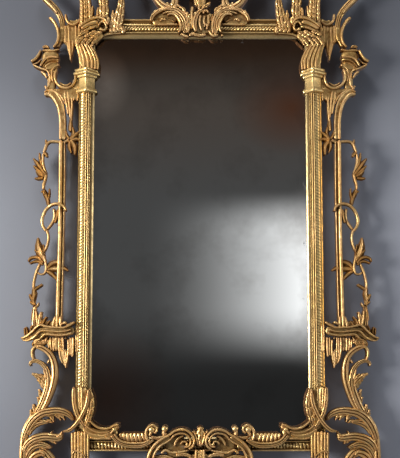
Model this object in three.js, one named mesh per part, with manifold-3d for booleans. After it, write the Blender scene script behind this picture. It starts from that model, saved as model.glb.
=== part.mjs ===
// Carved giltwood pier mirror: a mitred frame with its glass, boards and hangers, dressed with
// rococo scrollwork. Millimetres, +Z up, the front faces -Y and the wall is the plane Y = 0.
// The origin is on the wall plane, at the middle of the frame.
import * as THREE from 'three';
import { mergeVertices } from 'three/addons/utils/BufferGeometryUtils.js';
import Module from 'manifold-3d';

// ---- Driving dimensions ----------------------------------------------------------------
const frameWidth = 678; // over the two stiles
const frameHeight = 1200; // over the two rails
const stileFace = 42; // from the outer edge to the glass
const topRailFace = 51;
const bottomRailFace = 36;
const slipFace = 8; // burnished slip along the glass, part of the faces above
const frameDepth = 40; // from the back of a stile to its highest bead
const battenThickness = 7.7; // stands the frame off the wall
const battenHeight = 62;
const battenSpread = 430; // middle batten to the upper and lower ones
const glassThickness = 4;
const glassCover = 6; // glass held behind the slip, on each edge
const slipThickness = 10;
const boardThickness = 11.4;
const boardCount = 3;
const clearance = 0.3; // between two pieces that touch

const carvingDepth = 34; // side scrollwork, back to front
const carvingBack = 14; // side scrollwork, wall to back
const crestReach = 262; // finial tip above the frame
const apronReach = 148; // pendant tip below the frame
const colonnetteWidth = 18;
const colonnetteOut = 50; // middle of the rod, outside the stile
const shelfRise = 318; // top of the side shelf over the foot of the frame
const capitalDrop = 145; // top of the frame to the top of the capital
const capitalSide = 36; // square block set cornerwise
const capitalHeight = 30;
const braceWidth = 60; // upright braces behind crest and apron
const braceLap = 46; // length of a brace behind its rail

const hangerDrop = 300; // top of the frame to the pivot of a ring
const strapWidth = 20;
const strapLength = 78;
const strapThickness = 1.5;
const ringWire = 3.2; // diameter
const ringWidth = 34;
const ringLength = 36;
const ringPlay = 0.4; // radial play of the ring in its knuckle
const knuckleWall = 1.2;
const knuckleWidth = 14;
const screwShank = 3.2; // diameter
const screwHead = 7; // diameter
const screwLength = 14;
const screwSpacing = 24;
const screwMargin = 10; // lower screw to the end of its strap

// ---- Places that follow from them ------------------------------------------------------
const edge = frameWidth / 2;
const top = frameHeight / 2;
const bottom = -top;
const frameBack = -battenThickness - clearance;
const frameFront = frameBack - frameDepth;
const boardBack = frameBack;
const glassBack = boardBack - boardThickness - clearance;
const glassFront = glassBack - glassThickness;
const slipBack = glassFront - clearance;
const carvedBack = -carvingBack;
const carvedFront = -carvingBack - carvingDepth;
const appliedFront = frameFront - 14; // carving laid over the front of the frame

const wasm = await Module();
wasm.setup();

// ---- Solids ----------------------------------------------------------------------------
// A closed geometry becomes a solid that can be joined and cut.
function solid(geometry) {
  const bare = geometry.clone();
  bare.deleteAttribute('normal');
  bare.deleteAttribute('uv');
  const merged = mergeVertices(bare, 1e-4);
  return new wasm.Manifold(new wasm.Mesh({
    numProp: 3,
    vertProperties: new Float32Array(merged.attributes.position.array),
    triVerts: new Uint32Array(merged.index.array),
  }));
}

function geometryOf(body) {
  const { vertProperties, triVerts } = body.getMesh();
  const geometry = new THREE.BufferGeometry();
  geometry.setAttribute('position', new THREE.BufferAttribute(vertProperties, 3));
  geometry.setIndex(new THREE.BufferAttribute(triVerts, 1));
  return geometry;
}

const join = (bodies) => bodies.reduce((all, body) => all.add(body));
const cut = (body, ...others) => others.reduce((rest, other) => rest.subtract(other), body);

// A cut along a neighbour's outline can leave crumbs: the carving is the largest body.
function withoutCrumbs(body) {
  return body.decompose().sort((a, b) => b.volume() - a.volume())[0];
}

// Swaps two corners of each triangle, which turns a closed surface inside out.
function turned(geometry) {
  const index = Array.from(geometry.index.array);
  for (let i = 0; i < index.length; i += 3) {
    [index[i], index[i + 1]] = [index[i + 1], index[i]];
  }
  geometry.setIndex(index);
  return geometry;
}

function mirrored(geometry) {
  return turned(geometry.clone().scale(-1, 1, 1));
}

// Lofts closed rings of points. Open lofts get flat caps; a closed loft joins its last ring
// to its first.
function loft(rings, closed = false) {
  const sides = rings[0].length;
  const index = [];
  const last = closed ? rings.length : rings.length - 1;
  for (let i = 0; i < last; i += 1) {
    const a = i * sides;
    const b = ((i + 1) % rings.length) * sides;
    for (let j = 0; j < sides; j += 1) {
      const k = (j + 1) % sides;
      index.push(a + j, b + j, b + k, a + j, b + k, a + k);
    }
  }
  if (!closed) {
    const end = (rings.length - 1) * sides;
    for (let j = 1; j < sides - 1; j += 1) {
      index.push(0, j, j + 1, end, end + j + 1, end + j);
    }
  }
  const geometry = new THREE.BufferGeometry().setFromPoints(rings.flat());
  geometry.setIndex(index);
  return signedVolume(geometry) < 0 ? turned(geometry) : geometry;
}

function signedVolume(geometry) {
  const at = (i) => new THREE.Vector3().fromBufferAttribute(geometry.attributes.position, i);
  let sum = 0;
  for (let i = 0; i < geometry.index.count; i += 3) {
    const [a, b, c] = [0, 1, 2].map((k) => at(geometry.index.getX(i + k)));
    sum += a.dot(b.cross(c)) / 6;
  }
  return sum;
}

function box(x0, x1, y0, y1, z0, z1) {
  const geometry = new THREE.BoxGeometry(x1 - x0, y1 - y0, z1 - z0);
  return solid(geometry.translate((x0 + x1) / 2, (y0 + y1) / 2, (z0 + z1) / 2));
}

// A value between the entries of a list, by the share t of its length.
function along(list, t) {
  const place = t * (list.length - 1);
  const low = Math.min(Math.floor(place), list.length - 2);
  return list[low] + (list[low + 1] - list[low]) * (place - low);
}

const stepsPerSpan = 0.9;

// ---- Carver's strokes ------------------------------------------------------------------
// One stroke is a band swept along a smooth line in the plane of the wall. Its section has a
// flat back, two flanks and a raised ridge.
//   line: [x, z] points; width: across the band, from its first point to its last;
//   front, back: distance of ridge and back from the wall, as negative Y;
//   flank: distance from the wall at which the flanks turn towards the ridge.
function sweep({ line, width, front = carvedFront, back = carvedBack, flank }, grow) {
  const curve = new THREE.CatmullRomCurve3(
    line.map(([x, z]) => new THREE.Vector3(x, 0, z)), false, 'centripetal',
  );
  const fronts = Array.isArray(front) ? front : [front, front];
  const backs = Array.isArray(back) ? back : [back, back];
  const steps = Math.max(3, Math.round((line.length - 1) * stepsPerSpan));
  const rings = [];
  for (let i = 0; i <= steps; i += 1) {
    const t = i / steps;
    const middle = curve.getPoint(t);
    const way = curve.getPoint(Math.min(1, t + 0.01)).sub(curve.getPoint(Math.max(0, t - 0.01)));
    const across = new THREE.Vector3(-way.z, 0, way.x).normalize();
    if (i === 0 || i === steps) {
      middle.addScaledVector(way.normalize(), i === 0 ? -grow : grow);
    }
    const half = along(width, t) / 2 + grow;
    const far = along(fronts, t) - grow;
    const near = along(backs, t) + grow;
    const turn = flank === undefined ? (near + far) / 2 : flank - grow;
    rings.push([
      [-1, near], [1, near], [1, turn], [0, far], [-1, turn],
    ].map(([s, y]) => middle.clone().addScaledVector(across, s * half).setY(y)));
  }
  return solid(loft(rings));
}
// A carving is a set of strokes. Asked with a growth, it gives the space that it takes up.
const carving = (strokes) => (grow = 0) => join(strokes.map((stroke) => sweep(stroke, grow)));

// Drawing planes: points are [out from the stile, up from the frame's top or foot], and
// [from the middle, up from the frame's top or foot].
const byHead = (points) => points.map(([out, up]) => [edge + out, top + up]);
const byFoot = (points) => points.map(([out, up]) => [edge + out, bottom + up]);
const overHead = (points) => points.map(([x, up]) => [x, top + up]);
const underFoot = (points) => points.map(([x, up]) => [x, bottom + up]);

// ---- Frame -----------------------------------------------------------------------------
// Section of a moulded bar: [share of the face from the outer edge, height of its front].
const mouldedFront = [
  [0, 0.8], [0.03, 0.97], [0.1, 1], [0.16, 0.9], [0.34, 0.94], [0.42, 0.97],
  [0.48, 0.8], [0.56, 0.84], [0.64, 0.95], [0.74, 0.94],
];

// A bar between two mitres. `ends` gives where it starts and stops at a distance from the
// outer edge, and `place` puts [distance from the outer edge, y, along] in space.
function bar(section, ends, place) {
  const ring = (end) => section.map(([depth, y]) => place(depth, y, ends(depth)[end]));
  return solid(loft([ring(0), ring(1)]));
}

function mouldedSection(face) {
  const wood = face * (1 - slipFace / stileFace);
  const front = mouldedFront.map(([share, height]) => [
    share * face, frameBack - frameDepth * height,
  ]);
  return [[0, frameBack], ...front, [wood, frameBack - frameDepth * 0.8], [wood, frameBack]];
}

function slipSection(face) {
  const outer = face * (1 - slipFace / stileFace) + clearance;
  const front = slipBack - slipThickness;
  return [
    [outer, slipBack], [outer, front], [face - slipFace * 0.4, front],
    [face, slipBack - slipThickness * 0.4], [face, slipBack],
  ];
}

const upright = (side) => (depth, y, z) => new THREE.Vector3(side * (edge - depth), y, z);
const level = (side) => (depth, y, x) => new THREE.Vector3(x, y, side * (top - depth));

function stile(side, sectionOf) {
  const ends = (depth) => [
    bottom + depth * (bottomRailFace / stileFace) + clearance,
    top - depth * (topRailFace / stileFace) - clearance,
  ];
  return bar(sectionOf(stileFace), ends, upright(side));
}

function rail(side, face, sectionOf) {
  const half = (depth) => edge - depth * (stileFace / face) - clearance;
  return bar(sectionOf(face), (depth) => [-half(depth), half(depth)], level(side));
}

// Everything that is laid on the frame, or stands beside it, is cut by this block.
const frameBlock = box(
  -edge - clearance, edge + clearance, frameFront - clearance, 0,
  bottom - clearance, top + clearance,
);

// ---- Glass, boards, battens and braces -------------------------------------------------
const daylight = { // the opening that the slips leave
  side: edge - stileFace, top: top - topRailFace, bottom: bottom + bottomRailFace,
};
const mirrorPlate = box(
  -daylight.side - glassCover, daylight.side + glassCover, glassFront, glassBack,
  daylight.bottom - glassCover * (bottomRailFace / stileFace),
  daylight.top + glassCover * (topRailFace / stileFace),
);

// The boards fill the rebate behind the glass, side by side.
function backboard(number) {
  const reach = edge - stileFace + slipFace - clearance;
  const lowest = bottom + bottomRailFace * (1 - slipFace / stileFace) + clearance;
  const highest = top - topRailFace * (1 - slipFace / stileFace) - clearance;
  const pitch = (2 * reach + clearance) / boardCount;
  const x = -reach + number * pitch;
  return box(x, x + pitch - clearance, boardBack - boardThickness, boardBack, lowest, highest);
}

function batten(height) {
  const reach = edge - 4;
  return box(
    -reach, reach, -battenThickness, 0, height - battenHeight / 2, height + battenHeight / 2,
  );
}

// An upright brace lies on the back of a rail and carries the carving beyond it.
function brace(side, reach) {
  const zs = [side * (top - braceLap), side * (top + reach)].sort((a, b) => a - b);
  return box(-braceWidth / 2, braceWidth / 2, -battenThickness, 0, zs[0], zs[1]);
}

// ---- Hangers: a strap screwed to each stile, and a ring that swings in its knuckle -----
const hangerX = edge - stileFace * 0.42;
const hangerZ = top - hangerDrop;
const strapBack = frameBack + clearance + strapThickness;
const knuckleBore = ringWire / 2 + ringPlay;
const pivotY = frameBack + clearance + knuckleBore + knuckleWall;
const lowerScrewZ = hangerZ - strapLength + screwMargin;
const screwHeights = [lowerScrewZ + screwSpacing, lowerScrewZ];

// A rod of the strap hanger across the stile, at the pivot.
function pivotRod(radius, length) {
  const rod = new THREE.CylinderGeometry(radius, radius, length, 16).rotateZ(Math.PI / 2);
  return solid(rod.translate(hangerX, pivotY, hangerZ));
}

function screwHole(radius, height) {
  const hole = new THREE.CylinderGeometry(radius, radius, 60, 12);
  return solid(hole.translate(hangerX, 0, height));
}

function hangerStrap() {
  const plate = box(
    hangerX - strapWidth / 2, hangerX + strapWidth / 2, frameBack + clearance, strapBack,
    hangerZ - strapLength, hangerZ,
  );
  const knuckle = pivotRod(knuckleBore + knuckleWall, knuckleWidth);
  const holes = screwHeights.map((height) => screwHole(screwShank / 2 + clearance, height));
  return cut(plate.add(knuckle), pivotRod(knuckleBore, strapWidth * 2), ...holes);
}

// The ring hangs down from its straight bar, with half-round ends.
function hangerRing() {
  const half = ringWidth / 2 - ringWire / 2;
  const drop = ringLength - ringWire - half;
  const outline = new THREE.CurvePath();
  const at = (x, z) => new THREE.Vector3(hangerX + x, pivotY, hangerZ + z);
  const bend = ringWire * 1.5;
  outline.add(new THREE.LineCurve3(at(-half + bend, 0), at(half - bend, 0)));
  outline.add(new THREE.QuadraticBezierCurve3(at(half - bend, 0), at(half, 0), at(half, -bend)));
  outline.add(new THREE.LineCurve3(at(half, -bend), at(half, -drop)));
  const k = 0.5523 * half;
  const low = -drop - half;
  outline.add(new THREE.CubicBezierCurve3(
    at(half, -drop), at(half, -drop - k), at(k, low), at(0, low),
  ));
  outline.add(new THREE.CubicBezierCurve3(
    at(0, low), at(-k, low), at(-half, -drop - k), at(-half, -drop),
  ));
  outline.add(new THREE.LineCurve3(at(-half, -drop), at(-half, -bend)));
  outline.add(new THREE.QuadraticBezierCurve3(
    at(-half, -bend), at(-half, 0), at(-half + bend, 0),
  ));
  const steps = 30;
  const sides = 8;
  const rings = [];
  for (let i = 0; i < steps; i += 1) {
    const t = i / steps;
    const middle = outline.getPointAt(t);
    const way = outline.getTangentAt(t);
    const across = new THREE.Vector3(-way.z, 0, way.x);
    rings.push(Array.from({ length: sides }, (_, j) => {
      const turn = (2 * Math.PI * (j + 0.5)) / sides;
      return middle.clone().addScaledVector(across, (ringWire / 2) * Math.cos(turn))
        .add(new THREE.Vector3(0, (ringWire / 2) * Math.sin(turn), 0));
    }));
  }
  return solid(loft(rings, true));
}

// A screw with a domed head, its shank towards the front.
function hangerScrew(height) {
  const r = screwShank / 2;
  const head = screwHead / 2;
  const profile = [
    [0, -screwLength], [r * 0.6, -screwLength + r], [r, -screwLength + 3 * r], [r, clearance],
    [head, clearance], [head * 0.85, clearance + 0.9], [0, clearance + 1.5],
  ].map(([x, y]) => new THREE.Vector2(x, y));
  return solid(new THREE.LatheGeometry(profile, 12).translate(hangerX, strapBack, height));
}

// ---- Side carving, drawn for the right side --------------------------------------------
// The colonnette: a rod that rises from the shelf and curls outward under the bracket.
const headToFoot = ([out, up]) => [out, up + frameHeight];
const colonnette = carving([{
  line: byFoot([
    [colonnetteOut + 2, shelfRise - 8], [colonnetteOut, frameHeight * 0.4],
    [colonnetteOut - 1, frameHeight * 0.6],
    ...[[colonnetteOut - 1, -330], [colonnetteOut + 1, -284], [58, -256], [66, -236],
      [78, -222], [92, -215], [104, -212]].map(headToFoot),
  ]),
  width: [1, 1, 1, 1, 1, 1, 0.94, 0.89, 0.78, 0.56].map((share) => share * colonnetteWidth),
  front: carvedFront + 4,
  back: carvedBack - 6,
}]);

// The shelf that carries it: a long curved bracket with a raised tip.
const byShelf = (points) => points.map(([out, up]) => [edge + out, bottom + shelfRise + up]);
const shelf = carving([
  {
    line: byShelf([
      [154, -19], [128, -12], [98, 4], [74, 3], [47, -1], [30, 0], [14, 6], [-6, 20],
    ]),
    width: [7, 15, 22, 22, 22, 22, 22, 20],
    front: [carvedFront + 6, carvedFront - 16, carvedFront - 18, carvedFront - 16],
    flank: carvedFront,
  },
  {
    line: byShelf([[134, -14], [140, 2], [144, 17]]),
    width: [9, 10, 4],
    front: carvedFront + 4,
  },
  {
    line: byShelf([[112, -2], [118, 12], [114, 24]]),
    width: [18, 12, 5],
    front: carvedFront + 4,
  },
]);

// Reeded drops under the shelf.
const shelfFringe = carving([
  { line: byShelf([[70, -8], [70, -30], [67, -53]]), width: [20, 18, 11] },
  { line: byShelf([[53, -8], [53, -40], [52, -63]]), width: [18, 16, 10] },
  { line: byShelf([[34, -8], [36, -50], [34, -80], [32, -104]]), width: [28, 28, 20, 5] },
  { line: byShelf([[12, -4], [13, -40], [12, -66]]), width: [22, 20, 10] },
  { line: byShelf([[24, -4], [25, -22]]), width: [16, 14] },
]);

// The C-scroll below the shelf, with a second curl and leaf tips on its outer side.
const underScroll = carving([
  {
    line: byFoot([
      [116, 266], [122, 277], [112, 285], [92, 281], [76, 268], [66, 248], [59, 222],
      [57, 200], [61, 174], [69, 147], [79, 126], [92, 106],
    ]),
    width: [6, 9, 11, 13, 14, 15, 16, 17, 17, 16, 15, 14],
    front: [carvedFront + 2, carvedFront - 4, carvedFront - 2, carvedFront + 2],
  },
  { line: byFoot([[80, 272], [76, 286], [74, 300]]), width: [16, 18, 18], front: carvedFront + 8 },
  {
    line: byFoot([
      [127, 234], [120, 242], [108, 244], [94, 238], [83, 224], [78, 204], [78, 180],
      [84, 152], [94, 126], [104, 104],
    ]),
    width: [5, 9, 11, 13, 16, 20, 22, 24, 22, 20],
    front: [carvedFront + 6, carvedFront + 2, carvedFront + 4, carvedFront + 4],
  },
  { line: byFoot([[82, 182], [100, 196], [122, 208]]), width: [16, 12, 4], front: carvedFront + 6 },
  { line: byFoot([[84, 166], [98, 176], [112, 186]]), width: [14, 12, 4], front: carvedFront + 8 },
  { line: byFoot([[88, 142], [98, 154], [103, 165]]), width: [12, 11, 4], front: carvedFront + 6 },
  { line: byFoot([[92, 126], [102, 136], [109, 148]]), width: [14, 11, 4], front: carvedFront + 8 },
  { line: byFoot([[98, 108], [112, 114], [124, 122]]), width: [16, 12, 4], front: carvedFront + 8 },
]);

// The great acanthus at the foot: an outer stem and three leaves that reach for the frame.
const lowerAcanthus = carving([
  {
    line: byFoot([
      [92, 112], [108, 100], [122, 82], [134, 58], [140, 28], [141, -8], [139, -44],
      [128, -78], [108, -100], [84, -108], [68, -98], [68, -84],
    ]),
    width: [12, 18, 22, 24, 24, 22, 20, 18, 16, 13, 10, 6],
    front: [carvedFront + 8, carvedFront, carvedFront - 4, carvedFront - 2, carvedFront + 6],
  },
  {
    line: byFoot([[138, 36], [124, 68], [103, 90], [80, 102], [56, 106], [36, 104], [18, 94], [-2, 80]]),
    width: [14, 22, 25, 25, 24, 22, 16, 10],
    front: [carvedFront, carvedFront - 8, carvedFront - 10, carvedFront - 6, carvedFront],
  },
  {
    line: byFoot([[124, 44], [108, 66], [90, 76], [72, 77], [58, 72]]),
    width: [12, 16, 16, 13, 4],
    front: carvedFront + 4,
  },
  { line: byFoot([[60, 98], [48, 90], [36, 84]]), width: [18, 14, 4], front: carvedFront + 2 },
  {
    line: byFoot([[142, 8], [122, 32], [98, 36], [75, 34], [52, 37], [32, 39]]),
    width: [18, 24, 25, 24, 18, 6],
    front: [carvedFront, carvedFront - 8, carvedFront - 6, carvedFront + 2],
  },
  { line: byFoot([[84, 28], [66, 22], [50, 13]]), width: [16, 14, 4], front: carvedFront + 4 },
  {
    line: byFoot([[143, -34], [120, -14], [102, -11], [84, -17]]),
    width: [14, 17, 14, 4],
    front: carvedFront,
  },
  {
    line: byFoot([[134, -78], [104, -72], [70, -58], [40, -52], [10, -56], [-20, -58]]),
    width: [16, 20, 20, 18, 18, 16],
    front: carvedFront,
  },
]);

// Two rush blades crossed over the lower corner of the frame, with their leaves between.
const appliedFlank = frameFront - 6;
const overFrame = { back: frameBack, flank: appliedFlank };
const onFrame = { ...overFrame, front: appliedFront };
const crossedRushes = carving([
  { line: byFoot([[7, 170], [5, 148], [2, 126], [-4, 104], [-14, 84], [-28, 68], [-46, 56]]),
    width: [5, 8, 8, 8, 8, 8, 7], ...onFrame },
  { line: byFoot([[32, 54], [14, 58], [-1, 70], [-12, 85], [-23, 103], [-32, 124], [-37, 147], [-36, 170]]),
    width: [4, 8, 8, 8, 8, 8, 8, 5], ...onFrame },
  { line: byFoot([[-30, 82], [-40, 104], [-42, 128], [-40, 150], [-36, 168]]),
    width: [12, 18, 20, 15, 5], ...overFrame, front: appliedFront + 5 },
  { line: byFoot([[-12, 82], [-14, 110], [-13, 140], [-12, 168]]),
    width: [10, 18, 22, 12], ...overFrame, front: appliedFront + 6 },
]);

// Fluted drops over the lower corner.
const cornerDrip = carving([
  { line: byFoot([[6, 52], [5, 10], [3, -44]]), width: [14, 14, 9], ...onFrame },
  { line: byFoot([[-8, 54], [-9, 10], [-9, -62]]), width: [14, 15, 8], ...onFrame },
  { line: byFoot([[-22, 54], [-22, 10], [-21, -50]]), width: [14, 14, 8], ...onFrame },
  { line: byFoot([[-35, 48], [-34, 10], [-32, -30]]), width: [13, 13, 8], ...onFrame },
]);

// The scroll along the foot of the glass and the gadrooned shell that answers it.
const bottomScroll = carving([
  {
    line: byFoot([
      [-26, 78], [-42, 70], [-52, 61], [-64, 56], [-78, 54], [-92, 57], [-102, 64],
      [-112, 66], [-118, 58], [-112, 50],
    ]),
    width: [8, 11, 11, 11, 11, 11, 11, 12, 10, 8],
    ...onFrame,
  },
  { line: byFoot([[-26, 62], [-44, 48], [-66, 40], [-88, 45], [-104, 54]]),
    width: [10, 13, 13, 12, 9], ...overFrame, front: appliedFront + 4 },
  {
    line: byFoot([
      [-106, 52], [-114, 38], [-134, 26], [-156, 20], [-176, 20], [-192, 27], [-205, 40],
      [-218, 52], [-212, 66], [-199, 66], [-195, 56],
    ]),
    width: [9, 13, 14, 14, 14, 13, 12, 12, 11, 9, 6],
    ...overFrame,
    front: appliedFront - 3,
  },
  { line: byFoot([[-122, 40], [-140, 38], [-160, 36], [-178, 37], [-192, 42]]),
    width: [12, 20, 24, 20, 12], ...overFrame, front: appliedFront + 3 },
]);

// The capital on the stile: a square block set cornerwise between a cornice and a neck.
function capital(grow = 0) {
  const middle = edge - 20;
  const tier = (side, from, to) => {
    const width = side + 2 * grow;
    const block = new THREE.BoxGeometry(width, width, to - from + 2 * grow);
    block.rotateZ(Math.PI / 4.6);
    return solid(block.translate(middle, frameFront + 10, top - capitalDrop + (from + to) / 2));
  };
  const neck = -capitalHeight - 26;
  return join([
    tier(capitalSide + 14, -8, 0),
    tier(capitalSide + 20, -18, -7.9),
    tier(capitalSide + 8, -26, -17.9),
    tier(capitalSide, neck - 2, -25.9),
    tier(capitalSide + 10, neck - 12, neck - 1.9),
  ]);
}

// The capital overhangs the outer edge of the stile only near the front.
const behindCapital = box(edge - 1, edge + 100, frameFront + 12, 0, bottom, top);

// A fluted plume springs from the capital.
const plumeFlute = (line, width) => ({ line: byHead(line), width, ...onFrame });
const capitalPlume = carving([
  plumeFlute([[-40, -capitalDrop - 4], [-40, -122], [-34, -98], [-26, -77]], [16, 18, 15, 5]),
  plumeFlute([[-26, -capitalDrop - 4], [-26, -120], [-20, -96], [-12, -73]], [16, 17, 15, 5]),
  plumeFlute([[-10, -capitalDrop - 4], [-10, -120], [-5, -98], [3, -82]], [18, 18, 15, 5]),
]);

// The bracket at the shoulder: a rising band, a hooked curl, a winged leaf and a reeded apron
// round an open eye.
const shoulderScroll = carving([
  {
    line: byHead([
      [128, 128], [141, 116], [140, 98], [127, 76], [112, 60], [97, 48], [83, 37], [71, 22],
      [61, 4], [56, -16],
    ]),
    width: [5, 8, 10, 11, 12, 13, 14, 15, 18, 22],
    front: [carvedFront + 6, carvedFront - 6, carvedFront - 4, carvedFront],
  },
  {
    line: byHead([[86, 146], [74, 122], [62, 92], [56, 60], [54, 34], [53, 6]]),
    width: [5, 14, 18, 20, 18, 16],
    front: carvedFront + 6,
  },
  {
    line: byHead([[54, -4], [55, -34], [57, -60], [64, -84], [74, -106]]),
    width: [22, 24, 26, 30, 34],
    front: [carvedFront, carvedFront - 2, carvedFront],
  },
  {
    line: byHead([[96, 10], [86, 7], [76, -4], [68, -18], [62, -38], [60, -60]]),
    width: [7, 10, 12, 12, 12, 12],
    front: carvedFront - 4,
  },
  {
    line: byHead([[62, -90], [86, -94], [106, -100], [119, -112], [134, -122], [144, -124]]),
    width: [28, 28, 25, 21, 12, 5],
    front: [carvedFront, carvedFront - 8, carvedFront - 6],
  },
  {
    line: byHead([[72, -106], [90, -120], [104, -129], [116, -137]]),
    width: [28, 24, 16, 5],
    front: carvedFront - 2,
  },
  {
    line: byHead([[80, -140], [94, -148], [106, -148], [116, -146]]),
    width: [18, 14, 9, 4],
    front: carvedFront + 2,
  },
  {
    line: byHead([[76, -112], [79, -140], [80, -166], [86, -190], [98, -202]]),
    width: [26, 24, 22, 22, 12],
    front: carvedFront + 4,
  },
  {
    line: byHead([[70, -136], [71, -160], [65, -180], [52, -192], [38, -196], [24, -191],
      [14, -178], [9, -158], [6, -138]]),
    width: [8, 10, 11, 11, 11, 11, 11, 12, 12],
    front: carvedFront - 4,
  },
  {
    line: byHead([[50, -198], [46, -225], [36, -252], [29, -278], [25, -304]]),
    width: [62, 50, 34, 18, 9],
    front: carvedFront + 4,
  },
  {
    line: byHead([[8, -160], [8, -200], [13, -232]]),
    width: [16, 16, 8],
    front: carvedFront + 6,
  },
  {
    line: byHead([[46, -2], [40, -14], [26, -20], [12, -14], [2, 4]]),
    width: [12, 12, 12, 12, 10],
    front: carvedFront - 4,
  },
  {
    line: byHead([[22, -16], [24, -48], [28, -82], [30, -116]]),
    width: [44, 38, 22, 5],
    front: [carvedFront - 2, carvedFront - 6, carvedFront],
  },
  {
    line: byHead([[10, -22], [6, -52], [4, -84]]),
    width: [14, 14, 8],
    front: carvedFront + 2,
  },
  {
    line: byHead([[26, -298], [24, -316], [20, -342], [15, -366], [12, -388]]),
    width: [8, 24, 32, 22, 5],
    front: carvedFront + 2,
  },
]);

// The leafy C-scroll that turns the upper corner of the frame.
const cornerLeaf = carving([
  {
    line: byHead([[6, -42], [-4, -30], [-20, -17], [-40, -9], [-58, -9], [-70, -18], [-72, -31],
      [-64, -38], [-57, -31]]),
    width: [8, 11, 12, 12, 12, 11, 10, 8, 6],
    ...onFrame,
  },
  {
    line: byHead([[-2, -52], [-16, -40], [-30, -27], [-46, -20], [-56, -24]]),
    width: [12, 12, 12, 10, 6],
    ...onFrame,
  },
  {
    line: byHead([[2, -72], [-8, -60], [-24, -52], [-42, -54], [-52, -46]]),
    width: [8, 16, 18, 12, 5],
    ...overFrame,
    front: appliedFront + 4,
  },
]);

// ---- Crest -----------------------------------------------------------------------------
// Side plumes, one fluted, one plain and one leaf, rise from the ends of the top rail.
const crestBack = { back: carvedBack, front: appliedFront, flank: appliedFlank };
const crestPlume = carving([
  { line: byHead([[-14, -14], [-15, 26], [-16, 70], [-10, 108], [6, 136]]),
    width: [32, 34, 32, 22, 5], ...crestBack },
  { line: byHead([[-62, -8], [-62, 30], [-60, 72], [-50, 104], [-34, 126]]),
    width: [24, 27, 24, 16, 5], ...crestBack },
  { line: byHead([[-124, -24], [-112, -4], [-102, 18], [-98, 44], [-90, 72], [-74, 96]]),
    width: [12, 22, 24, 20, 14, 5], ...crestBack },
  { line: byHead([[-4, 2], [-40, 8], [-76, 2], [-112, -8], [-132, -14]]),
    width: [20, 22, 20, 16, 8], back: carvedBack, front: appliedFront + 5 },
]);

// Each C-scroll stands on the top rail and is carried up by two diverging bands.
const crestScroll = carving([
  {
    line: overHead([[140, -20], [136, 0], [124, 17], [105, 28], [82, 33], [62, 28], [47, 14],
      [38, -4]]),
    width: [10, 12, 12, 12, 13, 12, 12, 10],
    ...crestBack,
  },
  {
    line: overHead([[92, 8], [74, 6], [60, -3], [53, -20], [56, -37], [44, -48]]),
    width: [7, 9, 10, 10, 9, 6],
    ...onFrame,
  },
  {
    line: overHead([[84, 30], [108, 42], [124, 58], [137, 82], [141, 108], [132, 132],
      [112, 140], [98, 130], [100, 116]]),
    width: [12, 12, 13, 14, 14, 14, 12, 9, 6],
    ...crestBack,
  },
  {
    line: overHead([[80, 30], [71, 46], [72, 72], [69, 100], [56, 126], [40, 142]]),
    width: [12, 12, 14, 16, 18, 16],
    ...crestBack,
  },
  {
    line: overHead([[140, 96], [160, 104], [172, 122], [176, 144]]),
    width: [12, 16, 12, 4],
    back: carvedBack,
    front: appliedFront + 4,
  },
]);

// The leaf at the middle of the top rail, and the shell that finishes the crest.
const shellRays = 7;
const shellRoot = 128;
function shellRay(number) {
  const turn = (number - (shellRays - 1) / 2) * 0.36;
  const length = (crestReach - shellRoot) * (1 - 0.06 * Math.abs(turn)) - 4;
  const at = (share) => [
    Math.sin(turn) * length * share, shellRoot + Math.cos(turn) * length * share,
  ];
  return { line: overHead([at(0.1), at(0.4), at(0.75), at(1)]), width: [8, 22, 34, 16] };
}
const crestFinial = carving([
  { line: overHead([[10, -47], [-2, -30], [-12, -10], [-9, 12], [2, 32], [2, 60]]),
    width: [7, 10, 12, 12, 12, 14], ...onFrame },
  { line: overHead([[8, -44], [20, -22], [25, 2], [18, 26], [6, 48]]),
    width: [7, 10, 12, 12, 10], ...onFrame },
  { line: overHead([[0, 44], [0, 90], [0, shellRoot + 20]]), width: [26, 44, 36], ...onFrame },
  ...Array.from({ length: shellRays }, (_, i) => ({ ...shellRay(i), ...onFrame })),
  { line: overHead([[-66, 142], [-48, 122], [-22, 112], [0, 116], [22, 112], [48, 122], [66, 142]]),
    width: [8, 14, 16, 18, 16, 14, 8], ...overFrame, front: appliedFront - 4 },
]);

// ---- Apron -----------------------------------------------------------------------------
const bothSides = (points) => [points, points.map(([x, up]) => [-x, up])];
const apronCartouche = carving([
  ...bothSides([
    [86, -84], [108, -66], [128, -40], [136, -12], [128, 8], [112, 26], [94, 37], [76, 50],
    [56, 55], [38, 52], [26, 42], [22, 28], [30, 16], [42, 14], [48, 24],
  ]).map((line) => ({
    line: underFoot(line),
    width: [10, 14, 15, 15, 15, 15, 15, 15, 14, 13, 12, 11, 10, 8, 6],
    ...overFrame,
    front: appliedFront - 6,
  })),
  { line: underFoot([[0, 70], [0, 44], [0, 16], [0, -20]]), width: [5, 15, 14, 20], ...onFrame },
  ...bothSides([[6, -apronReach + 46], [32, -100], [62, -92], [88, -80], [104, -62]])
    .map((line) => ({ line: underFoot(line), width: [26, 26, 22, 18, 14], ...onFrame })),
  ...bothSides([[0, -14], [34, -34], [70, -30], [104, -18], [128, -20]])
    .map((line) => ({ line: underFoot(line), width: [40, 40, 30, 20, 12], ...onFrame })),
  ...bothSides([[4, -20], [26, -60], [34, -90]])
    .map((line) => ({ line: underFoot(line), width: [30, 34, 30], ...onFrame })),
  { line: underFoot([[0, -20], [0, -90], [0, -apronReach + 20], [0, -apronReach]]),
    width: [40, 44, 24, 6], ...overFrame, front: appliedFront - 4 },
]);

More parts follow.
